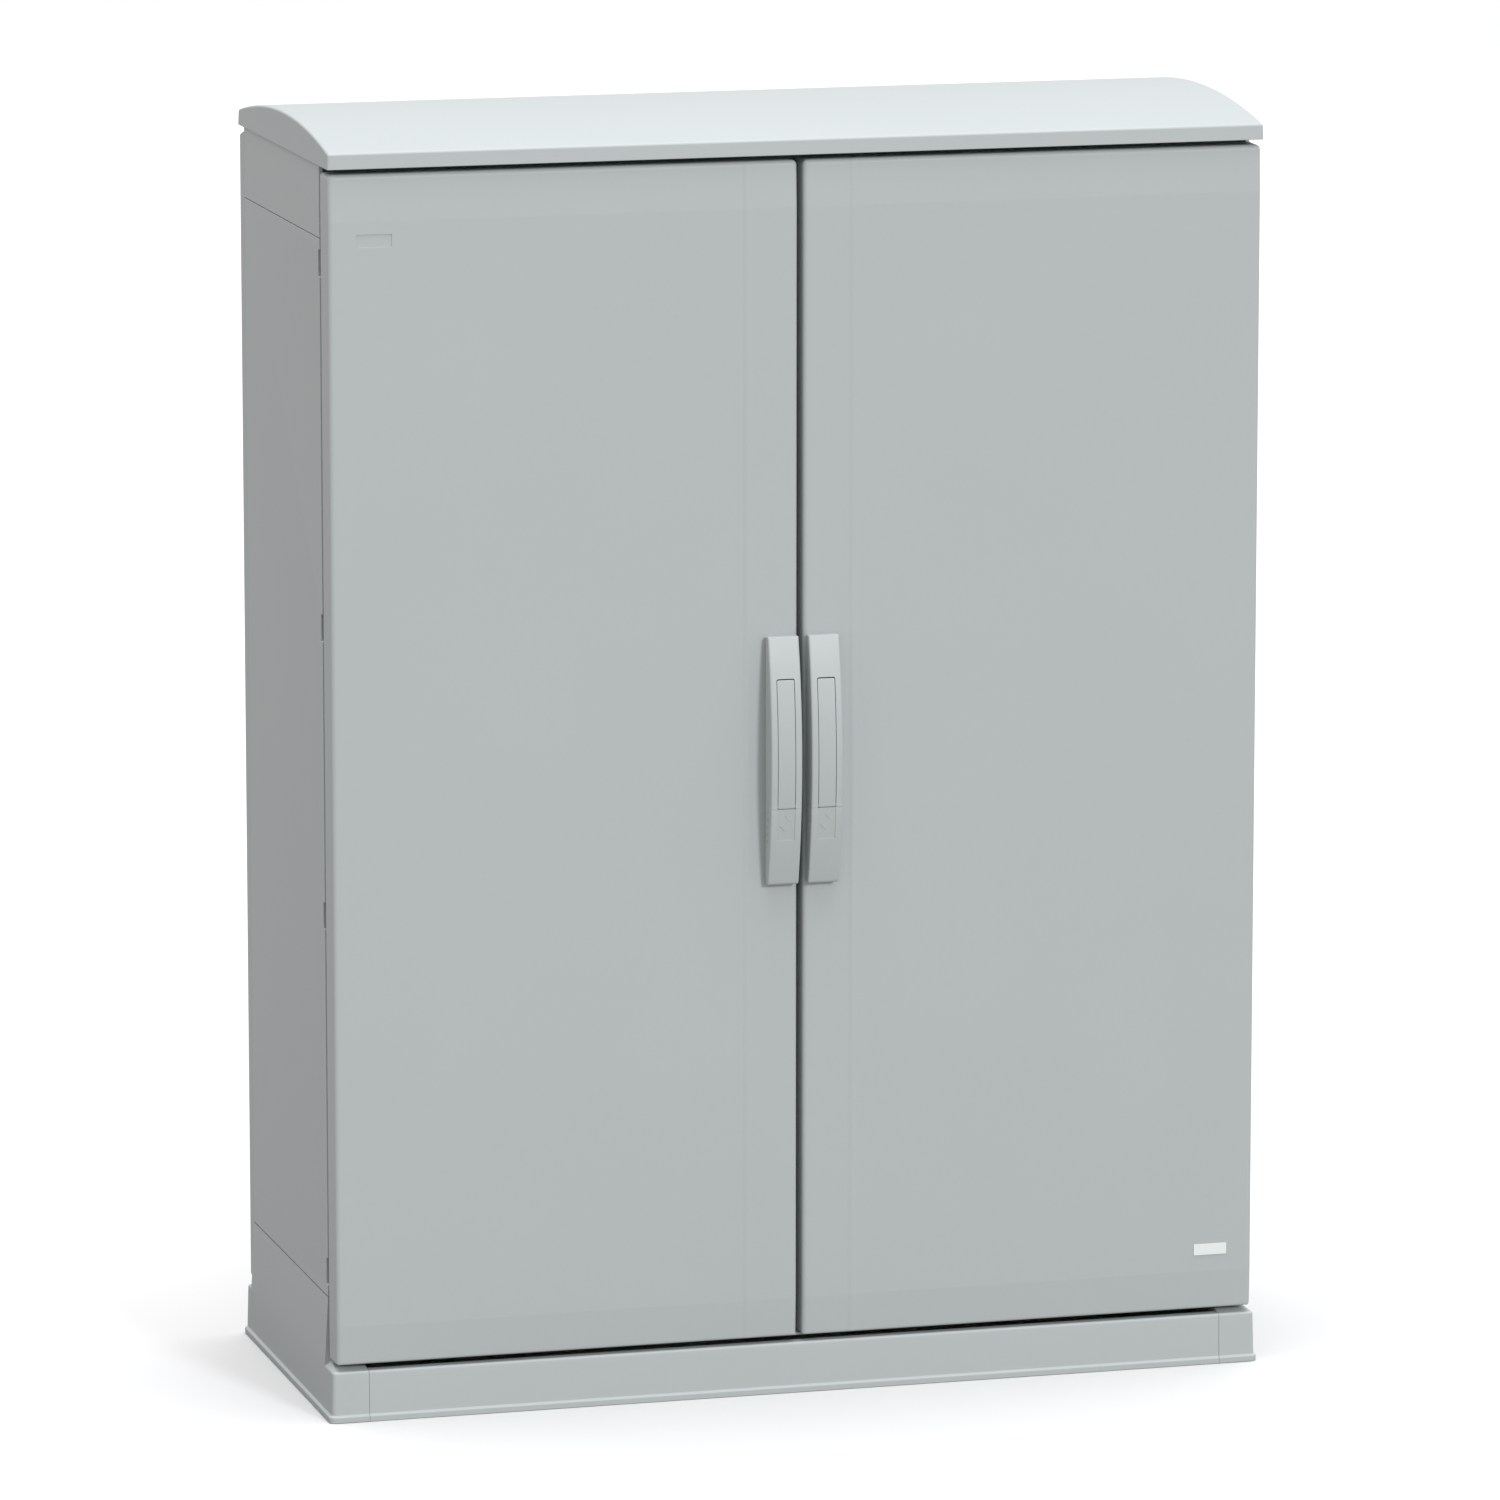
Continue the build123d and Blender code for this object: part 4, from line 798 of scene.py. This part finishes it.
def plinth_profile(tall):
    """Closed profile of the plinth's wall as (x offset, y offset, z) from the foot of its outer face.

    Offsets are measured outwards. With tall it runs up into the lowest part of the side wall.
    """
    profile = [(FLANGE_REACH_X, FLANGE_REACH_Y, CHAMFER)]
    for along, z in arc_points((0.0, FLANGE_TOP - FLANGE_SOFT), FLANGE_SOFT, 0, FLANGE_ARC, 4):
        profile.append((FLANGE_REACH_X - FLANGE_SOFT + along, FLANGE_REACH_Y - FLANGE_SOFT + along, z))
    for z in WALL_LEVELS:
        profile.append((-PLINTH_DRAFT * z, -PLINTH_DRAFT * z, z))
    top = -PLINTH_DRAFT * PLINTH_TOP
    profile += segment_profile(top) if tall else edge_profile(top)
    profile += [(-PLINTH_WALL, -PLINTH_WALL, CHAMFER), (-PLINTH_WALL, -PLINTH_WALL, 0.0)]
    profile.append((FLANGE_REACH_X - CHAMFER, FLANGE_REACH_Y - CHAMFER, 0.0))
    return profile


def plinth_columns(inner_x, half_x, half_y, wall_low, wall_high):
    """Profiles of a right-hand cheek in turn: front stretch, corner, flank, corner, back stretch."""
    short, tall = plinth_profile(False), plinth_profile(True)
    flat_x = half_x - PLINTH_CORNER - CORNER_MARGIN
    core = CORNER_CORE - PLINTH_CORNER

    def straight(x, end):
        return [(x, end * (half_y + out_y), z) for _, out_y, z in short]

    def flank(y, profile):
        return [(half_x + out_x, y, z) for out_x, _, z in profile]

    def corner(end, angle):
        column = []
        for out_x, out_y, z in short:
            x = half_x - PLINTH_CORNER + (PLINTH_CORNER + max(out_x, core)) * math.cos(angle)
            y = end * (half_y - PLINTH_CORNER) + (PLINTH_CORNER + max(out_y, core)) * math.sin(angle)
            column.append((x, y, z))
        return column

    rows = [wall_low] + ramp(wall_low + EDGE_LINE, wall_high - EDGE_LINE, 5) + [wall_high]
    columns = [straight(inner_x, -1), straight(flat_x, -1)]
    columns += [corner(-1, angle) for angle in ramp(-math.pi / 2, 0, 8)]
    columns += [flank(BEFORE_WALL_Y, short), flank(wall_low, short)]
    columns += [flank(y, tall) for y in rows]
    columns.append(flank(wall_high, short))
    columns += [corner(1, angle) for angle in ramp(0, math.pi / 2, 8)]
    return columns + [straight(flat_x, 1), straight(inner_x, 1)]


def post_cap(end, inner_x, half_y, back):
    """Sloping cap of one corner post; end is -1 in front and 1 behind, back its rear limit along Y."""
    outer = half_y - PLINTH_WALL - PLINTH_DRAFT * PLINTH_TOP + CAP_OVERLAP
    ridge = back + CAP_RIDGE_Y
    corners = [
        (inner_x, outer, CAP_EDGE), (CAP_FOOT_X, outer, CAP_EDGE), (CAP_RIDGE_X, ridge, CAP_TOP),
        (inner_x, ridge, CAP_TOP), (CAP_FOOT_X, back, CAP_EDGE), (CAP_RIDGE_X, back, CAP_TOP),
        (inner_x, back, CAP_TOP), (inner_x, outer, CAP_FOOT), (CAP_FOOT_X, outer, CAP_FOOT),
        (CAP_FOOT_X, back, CAP_FOOT), (inner_x, back, CAP_FOOT),
    ]
    sides = (
        (0, 1, 2, 3), (1, 4, 5, 2), (3, 2, 5, 6), (0, 7, 8, 1), (1, 8, 9, 4), (4, 9, 10, 6, 5),
        (0, 3, 6, 10, 7), (7, 10, 9, 8),
    )
    cap = new_bmesh()
    verts = [cap.verts.new((x, end * y, z)) for x, y, z in corners]
    for side in sides:
        cap.faces.new([verts[k] for k in side])
    bmesh.ops.recalc_face_normals(cap, faces=cap.faces)
    return cap


def plinth_side(side):
    """Plinth cheek: two corner posts, the rounded corners, the foot flange and the lowest wall segment."""
    high = box_of("plinth_side_right")[1]
    wall_low, wall_high = box_of("side_panel_right")
    inner_x = box_of("plinth_front_panel")[1].x + PANEL_SEAM
    half_y = high.y - FLANGE_REACH_Y
    bm = shape_along(plinth_columns(inner_x, high.x - FLANGE_REACH_X, half_y, wall_low.y, wall_high.y))
    for end in (-1, 1):
        join(bm, post_cap(end, inner_x, half_y, abs(wall_low.y)))
    flip(bm, mirror_x(side))
    build("plinth_side_" + side, bm, "root", CHAMFER, 2, 1.0)


def plinth_panel(node, end):
    """Removable plinth panel with its foot flange and top lip; end is -1 in front and 1 behind."""
    low, high = box_of(node)
    half_y = box_of("plinth_side_right")[1].y - FLANGE_REACH_Y
    outline = [(end * (half_y + out_y), z) for _, out_y, z in plinth_profile(False)]
    under = PLINTH_TOP - LIP_HEIGHT
    lip = [(end * (half_y - LIP_REACH), PLINTH_TOP), (end * (half_y - LIP_REACH), under)]
    lip.append((end * (half_y - PLINTH_WALL - LIP_ROOT), under))
    cut = outline.index([point for point in outline if point[1] >= PLINTH_TOP - NEAR_REPEAT][-1])
    bm = prism(outline[:cut] + lip + outline[cut + 2:], low.x, high.x)
    build(node, bm, "root", PANEL_EDGE, 2, 1.0)


# ---- back cover

COVER_SLOPE_DEPTH = 13.0 * MM
COVER_SLOPE_HEIGHT = 4.5 * MM
COVER_SOFT = 1.2 * MM
COVER_RIM = (1.0, 1.0, 0.5, 0.5)
COVER_HARD = 0.3
COVER_FIELD_X = 12 * MM
COVER_FIELD_Z = 30 * MM


def back_cover():
    """Shallow pan behind the cabinet, with sloping top and bottom edges."""
    low, high = box_of("back_cover")

    def face_y(x, z):
        near = min(z - low.z, high.z - z)
        return high.y - COVER_SLOPE_DEPTH * clamp(1 - near / COVER_SLOPE_HEIGHT, 0.0, 1.0)

    levels = [low.z, low.z + COVER_SLOPE_HEIGHT, high.z - COVER_SLOPE_HEIGHT, high.z]
    levels += ramp(low.z + COVER_FIELD_Z, high.z - COVER_FIELD_Z, 12)
    across = [low.x, high.x] + ramp(low.x + COVER_FIELD_X, high.x - COVER_FIELD_X, 10)
    bm = pan(merged(across), merged(levels), face_y, lambda x, z: low.y, WALL, -WALL, rim=COVER_RIM)
    build("back_cover", bm, "root", COVER_SOFT, 4, COVER_HARD)


# ---- swing handles

HANDLE_RISE = 15.0 * MM
HANDLE_SOFT = 3.2 * MM
HANDLE_WALL = 3.0 * MM
HANDLE_BACK = -210.3 * MM
HANDLE_SPLIT = 631.5 * MM
FIELD_HALF = 9.75 * MM
FIELD_BOTTOM = 597.6 * MM
FLAP_TOP = 768.3 * MM
LIFT_Z = 805.5 * MM
LOCK_Z = 706.0 * MM
END_TRIM = 1.6 * MM
SPLIT_GAP = 0.1 * MM
LEVER_RIM = (0.6, 0.6, 0.0, 0.45)
LEVER_HOLE_CORNER = 0.6
LEVER_HOLE_RIM = 0.06
LIFT_RELIEF = math.tan(math.radians(16))
WINDOW_MARGIN = 5 * MM
# Floor round the lock: half its height, its depth under the bow, its thickness, its overlap with the walls.
LOCK_FLOOR_HALF = 14 * MM
LOCK_FLOOR_DEPTH = 8 * MM
LOCK_FLOOR_SKIN = 4 * MM
LOCK_FLOOR_OVERLAP = 0.3 * MM
LOCK_HOLE = 8.1 * MM
LOCK_HOLE_STEPS = 32
GRIP_RIM = (0.6, 0.6, 1.0, 0.0)
FIELD_SLOPE = 0.3 * MM
FIELD_DEPTH = 0.7 * MM
# Two plain bars in the grip's field: places from the handle's axis and from the floor, and their shape.
BAR_PLACES = ((-4.2 * MM, 611.8 * MM), (1.8 * MM, 621.6 * MM))
BAR_WIDTH = 0.9 * MM
BAR_LENGTH = 9.0 * MM
BAR_HEIGHT = 0.5 * MM
BAR_TURN = math.radians(45)
BAR_SINK = 0.4 * MM
BAR_TAPER = (0.8, 0.9)
# Slanted ribs on both sides of the grip.
RIB_COUNT = 5
RIB_FIRST = 595.7 * MM
RIB_PITCH = 8.0 * MM
RIB_DEPTH = 9 * MM
RIB_LENGTH = 5 * MM
RIB_RISE = 2.4 * MM
RIB_THICK = 0.7 * MM
RIB_SINK = 0.4 * MM
RIB_PROUD = 0.5 * MM
RIB_SOFT = 0.1
# Flap over the lock, with its knuckle and trunnions.
FLAP_HALF = FIELD_HALF - 0.55 * MM
FLAP_SINK = 0.05 * MM
FLAP_SKIN = 2.2 * MM
FLAP_SOFT = 1.2 * MM
FLAP_ENDS = (HANDLE_SPLIT + 0.35 * MM, FLAP_TOP - 1.2 * MM)
FLAP_EDGE = (2.4 * MM, 2.5 * MM)
FLAP_FIELD = 7 * MM
FLAP_CRISP = 0.3
FLAP_CORNER = 1.4
PIVOT_Z = 634.0 * MM
PIVOT_DEPTH = 1.9 * MM
KNUCKLE_RADIUS = 1.85 * MM
KNUCKLE_GAP = 0.2 * MM
TRUNNION_RADIUS = 1.2 * MM


def bow_curve():
    """Function of (depth, z) that gives the handle's outer face, from the CAD boxes of its pieces."""
    lever_low, lever_high = box_of("lever_right")
    grip_low = box_of("grip_right")[0]
    crown, middle = lever_low.y, (grip_low.z + lever_high.z) / 2
    half = (lever_high.z - grip_low.z) / 2
    radius = (half ** 2 + HANDLE_RISE ** 2) / (2 * HANDLE_RISE)

    def curve(depth, z):
        return crown + radius - math.sqrt((radius - depth) ** 2 - (z - middle) ** 2)

    return curve


def handle_axis():
    """Centre and half width of the right handle."""
    low, high = box_of("lever_right")
    return (low.x + high.x) / 2, (high.x - low.x) / 2


def lever(side):
    """Upper shell of the bow: window for the flap, floor round the lock and relief for lifting.

    It has no bores, unlike the CAD lever: the lift pin and the flap's trunnions run through its walls.
    """
    curve = bow_curve()
    centre, half = handle_axis()
    top = box_of("lever_right")[1].z
    bottom = HANDLE_SPLIT + SPLIT_GAP

    def back(x, z):
        return HANDLE_BACK - max(0.0, z - LIFT_Z) * LIFT_RELIEF

    xs = [centre - half, centre - FIELD_HALF, centre, centre + FIELD_HALF, centre + half]
    zs = [bottom] + ramp(bottom + WINDOW_MARGIN, FLAP_TOP - WINDOW_MARGIN, 22)
    zs += ramp(FLAP_TOP, LIFT_Z, 6) + [top]
    hole = (centre - FIELD_HALF, centre + FIELD_HALF, bottom - 1 * MM, FLAP_TOP)
    bm = pan(
        merged(xs), merged(zs), lambda x, z: curve(0.0, z), back, HANDLE_WALL, HANDLE_WALL, hole=hole,
        rim=LEVER_RIM, hole_corner=LEVER_HOLE_CORNER, hole_rim=LEVER_HOLE_RIM,
    )
    floor_y = curve(0.0, LOCK_Z) + LOCK_FLOOR_DEPTH
    inner = half - HANDLE_WALL + LOCK_FLOOR_OVERLAP
    plate = holed_plate(
        (centre - inner, centre + inner), (LOCK_Z - LOCK_FLOOR_HALF, LOCK_Z + LOCK_FLOOR_HALF),
        (floor_y, floor_y + LOCK_FLOOR_SKIN), (centre, LOCK_Z), LOCK_HOLE,
    )
    join(bm, plate)
    flip(bm, mirror_x(side))
    build("lever_" + side, bm, "lever_" + side, HANDLE_SOFT, 6)


def holed_plate(x, z, y, centre, radius):
    """Flat plate facing -Y with one round hole."""
    bm = new_bmesh()
    count = LOCK_HOLE_STEPS
    quarter = count // 4
    corners = [(x[1], z[0]), (x[1], z[1]), (x[0], z[1]), (x[0], z[0])]
    round_points = arc_points(centre, radius, -45, 315 - 360 / count, count - 1)
    layers = []
    for depth in y:
        square = [bm.verts.new((a, depth, b)) for a, b in corners]
        circle = [bm.verts.new((a, depth, b)) for a, b in round_points]
        layers.append((square, circle))
        for k in range(4):
            stretch = [circle[(k * quarter + step) % count] for step in range(quarter + 1)]
            bm.faces.new([square[k], square[(k + 1) % 4]] + list(reversed(stretch)))
    for near, far in zip(*layers):
        band(bm, near, far)
    bmesh.ops.recalc_face_normals(bm, faces=bm.faces)
    return bm


def bar(place, turn, front):
    """Low raised bar on the bow, turned in the XZ plane; front(z) is the face it stands on."""
    half_x, half_z = BAR_WIDTH / 2, BAR_LENGTH / 2
    cosine, sine = math.cos(turn), math.sin(turn)
    outline = [
        (place[0] + a * cosine - b * sine, place[1] + a * sine + b * cosine)
        for a, b in ((-half_x, -half_z), (half_x, -half_z), (half_x, half_z), (-half_x, half_z))
    ]
    bm = new_bmesh()
    low = [bm.verts.new((x, front(z) + BAR_SINK, z)) for x, z in outline]
    high = []
    for x, z in outline:
        top_x = place[0] + (x - place[0]) * BAR_TAPER[0]
        top_z = place[1] + (z - place[1]) * BAR_TAPER[1]
        high.append(bm.verts.new((top_x, front(z) - BAR_HEIGHT, top_z)))
    close_solid(bm, low, high)
    bmesh.ops.recalc_face_normals(bm, faces=bm.faces)
    return bm


def rib(edge, end, y, z):
    """One slanted rib on the grip's side wall at edge; end is -1 or 1, the side it faces."""
    x = sorted((edge - RIB_SINK * end, edge + RIB_PROUD * end))
    outline = [(y, z + RIB_RISE - RIB_THICK), (y + RIB_LENGTH, z - RIB_RISE - RIB_THICK)]
    outline += [(y + RIB_LENGTH, z - RIB_RISE + RIB_THICK), (y, z + RIB_RISE + RIB_THICK)]
    bm = prism(outline, x[0], x[1], RIB_SOFT)
    bmesh.ops.recalc_face_normals(bm, faces=bm.faces)
    return bm


def grip(side):
    """Lower shell of the bow, with its pressed field, two plain raised bars and slanted side ribs."""
    curve = bow_curve()
    centre, half = handle_axis()
    sign = mirror_x(side)
    bottom = box_of("grip_right")[0].z + END_TRIM
    top = HANDLE_SPLIT - SPLIT_GAP

    def front(x, z):
        inside = min(FIELD_HALF - abs(x - centre), z - FIELD_BOTTOM)
        return curve(FIELD_DEPTH if inside > FIELD_SLOPE / 2 else 0.0, z)

    xs = [centre - half, centre, centre + half]
    xs += [centre + end * (FIELD_HALF + shift) for end in (-1, 1) for shift in (0.0, -FIELD_SLOPE)]
    zs = [bottom] + ramp(bottom + 6 * MM, FIELD_BOTTOM - 3 * MM, 8)
    zs += [FIELD_BOTTOM, FIELD_BOTTOM + FIELD_SLOPE] + ramp(FIELD_BOTTOM + 4 * MM, top, 6)
    bm = pan(
        merged(xs), merged(zs), front, lambda x, z: HANDLE_BACK, HANDLE_WALL, HANDLE_WALL, rim=GRIP_RIM,
    )
    for along, level in BAR_PLACES:
        join(bm, bar((centre + sign * along, level), sign * BAR_TURN, lambda z: curve(FIELD_DEPTH, z)))
    for index in range(RIB_COUNT):
        z = RIB_FIRST + RIB_PITCH * index
        for end in (-1, 1):
            join(bm, rib(centre + end * half, end, curve(RIB_DEPTH, z), z))
    flip(bm, sign)
    build("grip_" + side, bm, "lever_" + side, HANDLE_SOFT, 6)


def flap_shell(curve, centre):
    """Bowed plate of the flap, with soft edges."""
    edge_x, edge_z = FLAP_EDGE
    bottom, top = FLAP_ENDS
    xs = [centre - FLAP_HALF, centre - FLAP_HALF + edge_x, centre]
    xs += [centre + FLAP_HALF - edge_x, centre + FLAP_HALF]
    zs = [bottom, bottom + edge_z] + ramp(bottom + FLAP_FIELD, top - FLAP_FIELD, 22) + [top - edge_z, top]
    last_x, last_z = len(xs) - 1, len(zs) - 1
    bm = new_bmesh()
    grid = {}
    for layer, depth in (("out", FLAP_SINK), ("in", FLAP_SKIN)):
        for i, x in enumerate(xs):
            for j, z in enumerate(zs):
                grid[layer, i, j] = bm.verts.new((x, curve(depth, z), z))
    for layer in ("out", "in"):
        for i in range(last_x):
            for j in range(last_z):
                quad(bm, *[grid[(layer, *corner)] for corner in cell_corners((i, j))])
    ring = [(i, 0) for i in range(last_x)] + [(last_x, j) for j in range(last_z)]
    ring += [(i, last_z) for i in range(last_x, 0, -1)] + [(0, j) for j in range(last_z, 0, -1)]
    for here, there in zip(ring, ring[1:] + ring[:1]):
        pair = (grid[("out", *here)], grid[("out", *there)])
        quad(bm, *pair, grid[("in", *there)], grid[("in", *here)])
        at_bottom = here[1] == 0 and there[1] == 0
        weigh(bm, [bm.edges.get(pair)], 1.0 if at_bottom else FLAP_CRISP)
    for i in (0, last_x):
        weigh(bm, [bm.edges.get((grid["out", i, last_z], grid["in", i, last_z]))], FLAP_CORNER)
    return bm


def flap(side):
    """Cover over the lock, curved with the bow, with a knuckle and two trunnions at its lower edge."""
    curve = bow_curve()
    centre = handle_axis()[0]
    low, high = box_of("flap_right")
    bm = flap_shell(curve, centre)
    pivot = (curve(PIVOT_DEPTH, PIVOT_Z), PIVOT_Z)
    reach = FLAP_HALF - KNUCKLE_GAP
    for start, stop, radius in (
        (centre - reach, centre + reach, KNUCKLE_RADIUS), (low.x, high.x, TRUNNION_RADIUS),
    ):
        pin = prism(arc_points(pivot, radius, 0, 345, 23), start, stop)
        bmesh.ops.recalc_face_normals(pin, faces=pin.faces)
        join(bm, pin)
    flip(bm, mirror_x(side))
    build("flap_" + side, bm, "flap_" + side, FLAP_SOFT, 4)


# ---- door seals

SEAL_WIDTH = 12.0 * MM
SEAL_CORNER = 9.0 * MM
SEAL_SHOULDER = 0.55


def seal_profile(low_y, high_y):
    """Closed profile of the seal as (distance inwards, y), with a domed face."""
    profile = [(0.0, low_y), (SEAL_WIDTH, low_y)]
    for along, rise in arc_points((0.0, 0.0), 1.0, 20, 160, 8):
        height = SEAL_SHOULDER + (1 - SEAL_SHOULDER) * rise
        profile.append((SEAL_WIDTH / 2 * (1 + along), low_y + (high_y - low_y) * height))
    return profile


def door_seal(side):
    """Foamed seal ring with a domed face, on the inside of the door skin."""
    low, high = box_of("door_seal_right")
    profile = seal_profile(low.y, high.y)
    left, right = low.x + SEAL_CORNER, high.x - SEAL_CORNER
    bottom, top = low.z + SEAL_CORNER, high.z - SEAL_CORNER
    rows = []
    for x, z, start in ((right, bottom, -90), (right, top, 0), (left, top, 90), (left, bottom, 180)):
        for angle in ramp(math.radians(start), math.radians(start + 90), 6):
            cosine, sine = math.cos(angle), math.sin(angle)
            rows.append(
                [(x + (SEAL_CORNER - inward) * cosine, y, z + (SEAL_CORNER - inward) * sine)
                 for inward, y in profile]
            )
    bm = shape_along(rows, ring=True)
    flip(bm, mirror_x(side))
    build("door_seal_" + side, bm, "door_" + side)


# ---- carried-over CAD pieces

WELD_REACH = 0.002 * MM
FLAT_ANGLE = math.radians(0.5)
CAD_SOFT = 0.6 * MM


def refine(node):
    """Give a CAD piece its finish, joined faces, softened edges and clean shading."""
    piece = frame["nodes"][node]
    for slot in piece.material_slots:
        slot.material = MATERIALS[SLOT_OF[node]]
    add_modifier(piece, "join", "WELD", merge_threshold=WELD_REACH)
    add_modifier(piece, "flat", "DECIMATE", decimate_type="DISSOLVE", angle_limit=FLAT_ANGLE)
    add_modifier(
        piece, "edges", "BEVEL", width=CAD_SOFT, segments=2, limit_method="ANGLE",
        angle_limit=SHARP_ANGLE, use_clamp_overlap=True,
    )
    add_modifier(piece, "normals", "WEIGHTED_NORMAL", keep_sharp=False, weight=80)


# ---- camera and studio

CAMERA_PLACE = Vector((-2.6475, -9.5670, 2.4750))
CAMERA_TARGET = Vector((-0.0545, -0.2070, 0.6915))
CAMERA_LENS = 227.8
WARM = (1.0, 0.974, 0.96)
COOL = (0.96, 0.977, 1.0)
FLOOR_SIZE = 12.0
FLOOR_DROP = 0.2 * MM
FLOOR_SEEN = (0.76, 0.76, 0.76)
FLOOR_BOUNCED = scaled(WARM, 0.25)
AMBIENT = 0.64
# Each sun: name, direction it shines from, strength, spread in degrees.
SUNS = (
    ("overhead", (0.0, 0.0, 1.0), 2.72, 50.0),
    ("front_right", (0.3, -1.0, 0.4), 1.3, 10.0),
)


def make_camera():
    """Long-lens camera at the photograph's viewing angle."""
    data = bpy.data.cameras.new("camera")
    data.lens = CAMERA_LENS
    data.sensor_width = 36.0
    data.clip_start = 0.1
    data.clip_end = 100.0
    camera = bpy.data.objects.new("camera", data)
    camera.location = CAMERA_PLACE
    camera.rotation_mode = "QUATERNION"
    camera.rotation_quaternion = (CAMERA_TARGET - CAMERA_PLACE).to_track_quat("-Z", "Y")
    bpy.context.scene.collection.objects.link(camera)
    bpy.context.scene.camera = camera


def sun(name, toward, strength, spread):
    """Soft, slightly cool sun that shines from the given direction."""
    data = bpy.data.lights.new(name, "SUN")
    data.color = COOL
    data.energy = strength
    data.angle = math.radians(spread)
    light = bpy.data.objects.new(name, data)
    light.rotation_mode = "QUATERNION"
    light.rotation_quaternion = Vector(toward).to_track_quat("Z", "Y")
    bpy.context.scene.collection.objects.link(light)


def make_floor():
    """Pale floor just under the cabinet's foot."""
    bm = bmesh.new()
    bmesh.ops.create_grid(bm, x_segments=8, y_segments=8, size=FLOOR_SIZE)
    mesh = bpy.data.meshes.new("floor")
    bm.to_mesh(mesh)
    bm.free()
    floor = bpy.data.objects.new("floor", mesh)
    floor.location.z = -FLOOR_DROP
    bpy.context.scene.collection.objects.link(floor)
    mesh.materials.append(floor_paint("floor_paint", FLOOR_SEEN, FLOOR_BOUNCED))


def make_surroundings():
    """Even, slightly warm light from all round, behind a background that the camera sees as white."""
    world = bpy.data.worlds.new("surroundings")
    world.use_nodes = True
    bpy.context.scene.world = world
    nodes = Nodes(world.node_tree)
    around = nodes.add("ShaderNodeBackground", {"Color": (*WARM, 1.0), "Strength": AMBIENT})
    seen = nodes.add("ShaderNodeBackground", {"Color": (1.0, 1.0, 1.0, 1.0), "Strength": 1.0})
    ray = nodes.add("ShaderNodeLightPath").outputs["Is Camera Ray"]
    mix = nodes.add("ShaderNodeMixShader", {0: ray, 1: around.outputs[0], 2: seen.outputs[0]})
    nodes.feed(nodes.add("ShaderNodeOutputWorld"), "Surface", mix.outputs[0])


# ---- scene

ONE_OFF_PIECES = ("canopy", "back_cover", "plinth_front_panel", "plinth_back_panel")


def main():
    """Camera, studio, rebuilt mouldings and carried-over pieces."""
    make_camera()
    make_floor()
    make_surroundings()
    for light in SUNS:
        sun(*light)
    bpy.context.scene.view_settings.view_transform = "Standard"
    rebuilt = set(ONE_OFF_PIECES)
    canopy()
    back_cover()
    plinth_panel("plinth_front_panel", -1)
    plinth_panel("plinth_back_panel", 1)
    for side in ("left", "right"):
        for maker in (door_shell, plinth_side, lever, grip, flap, door_seal):
            maker(side)
            rebuilt.add(maker.__name__ + "_" + side)
    for node in sorted(frame["nodes"]):
        if node not in rebuilt:
            refine(node)


main()
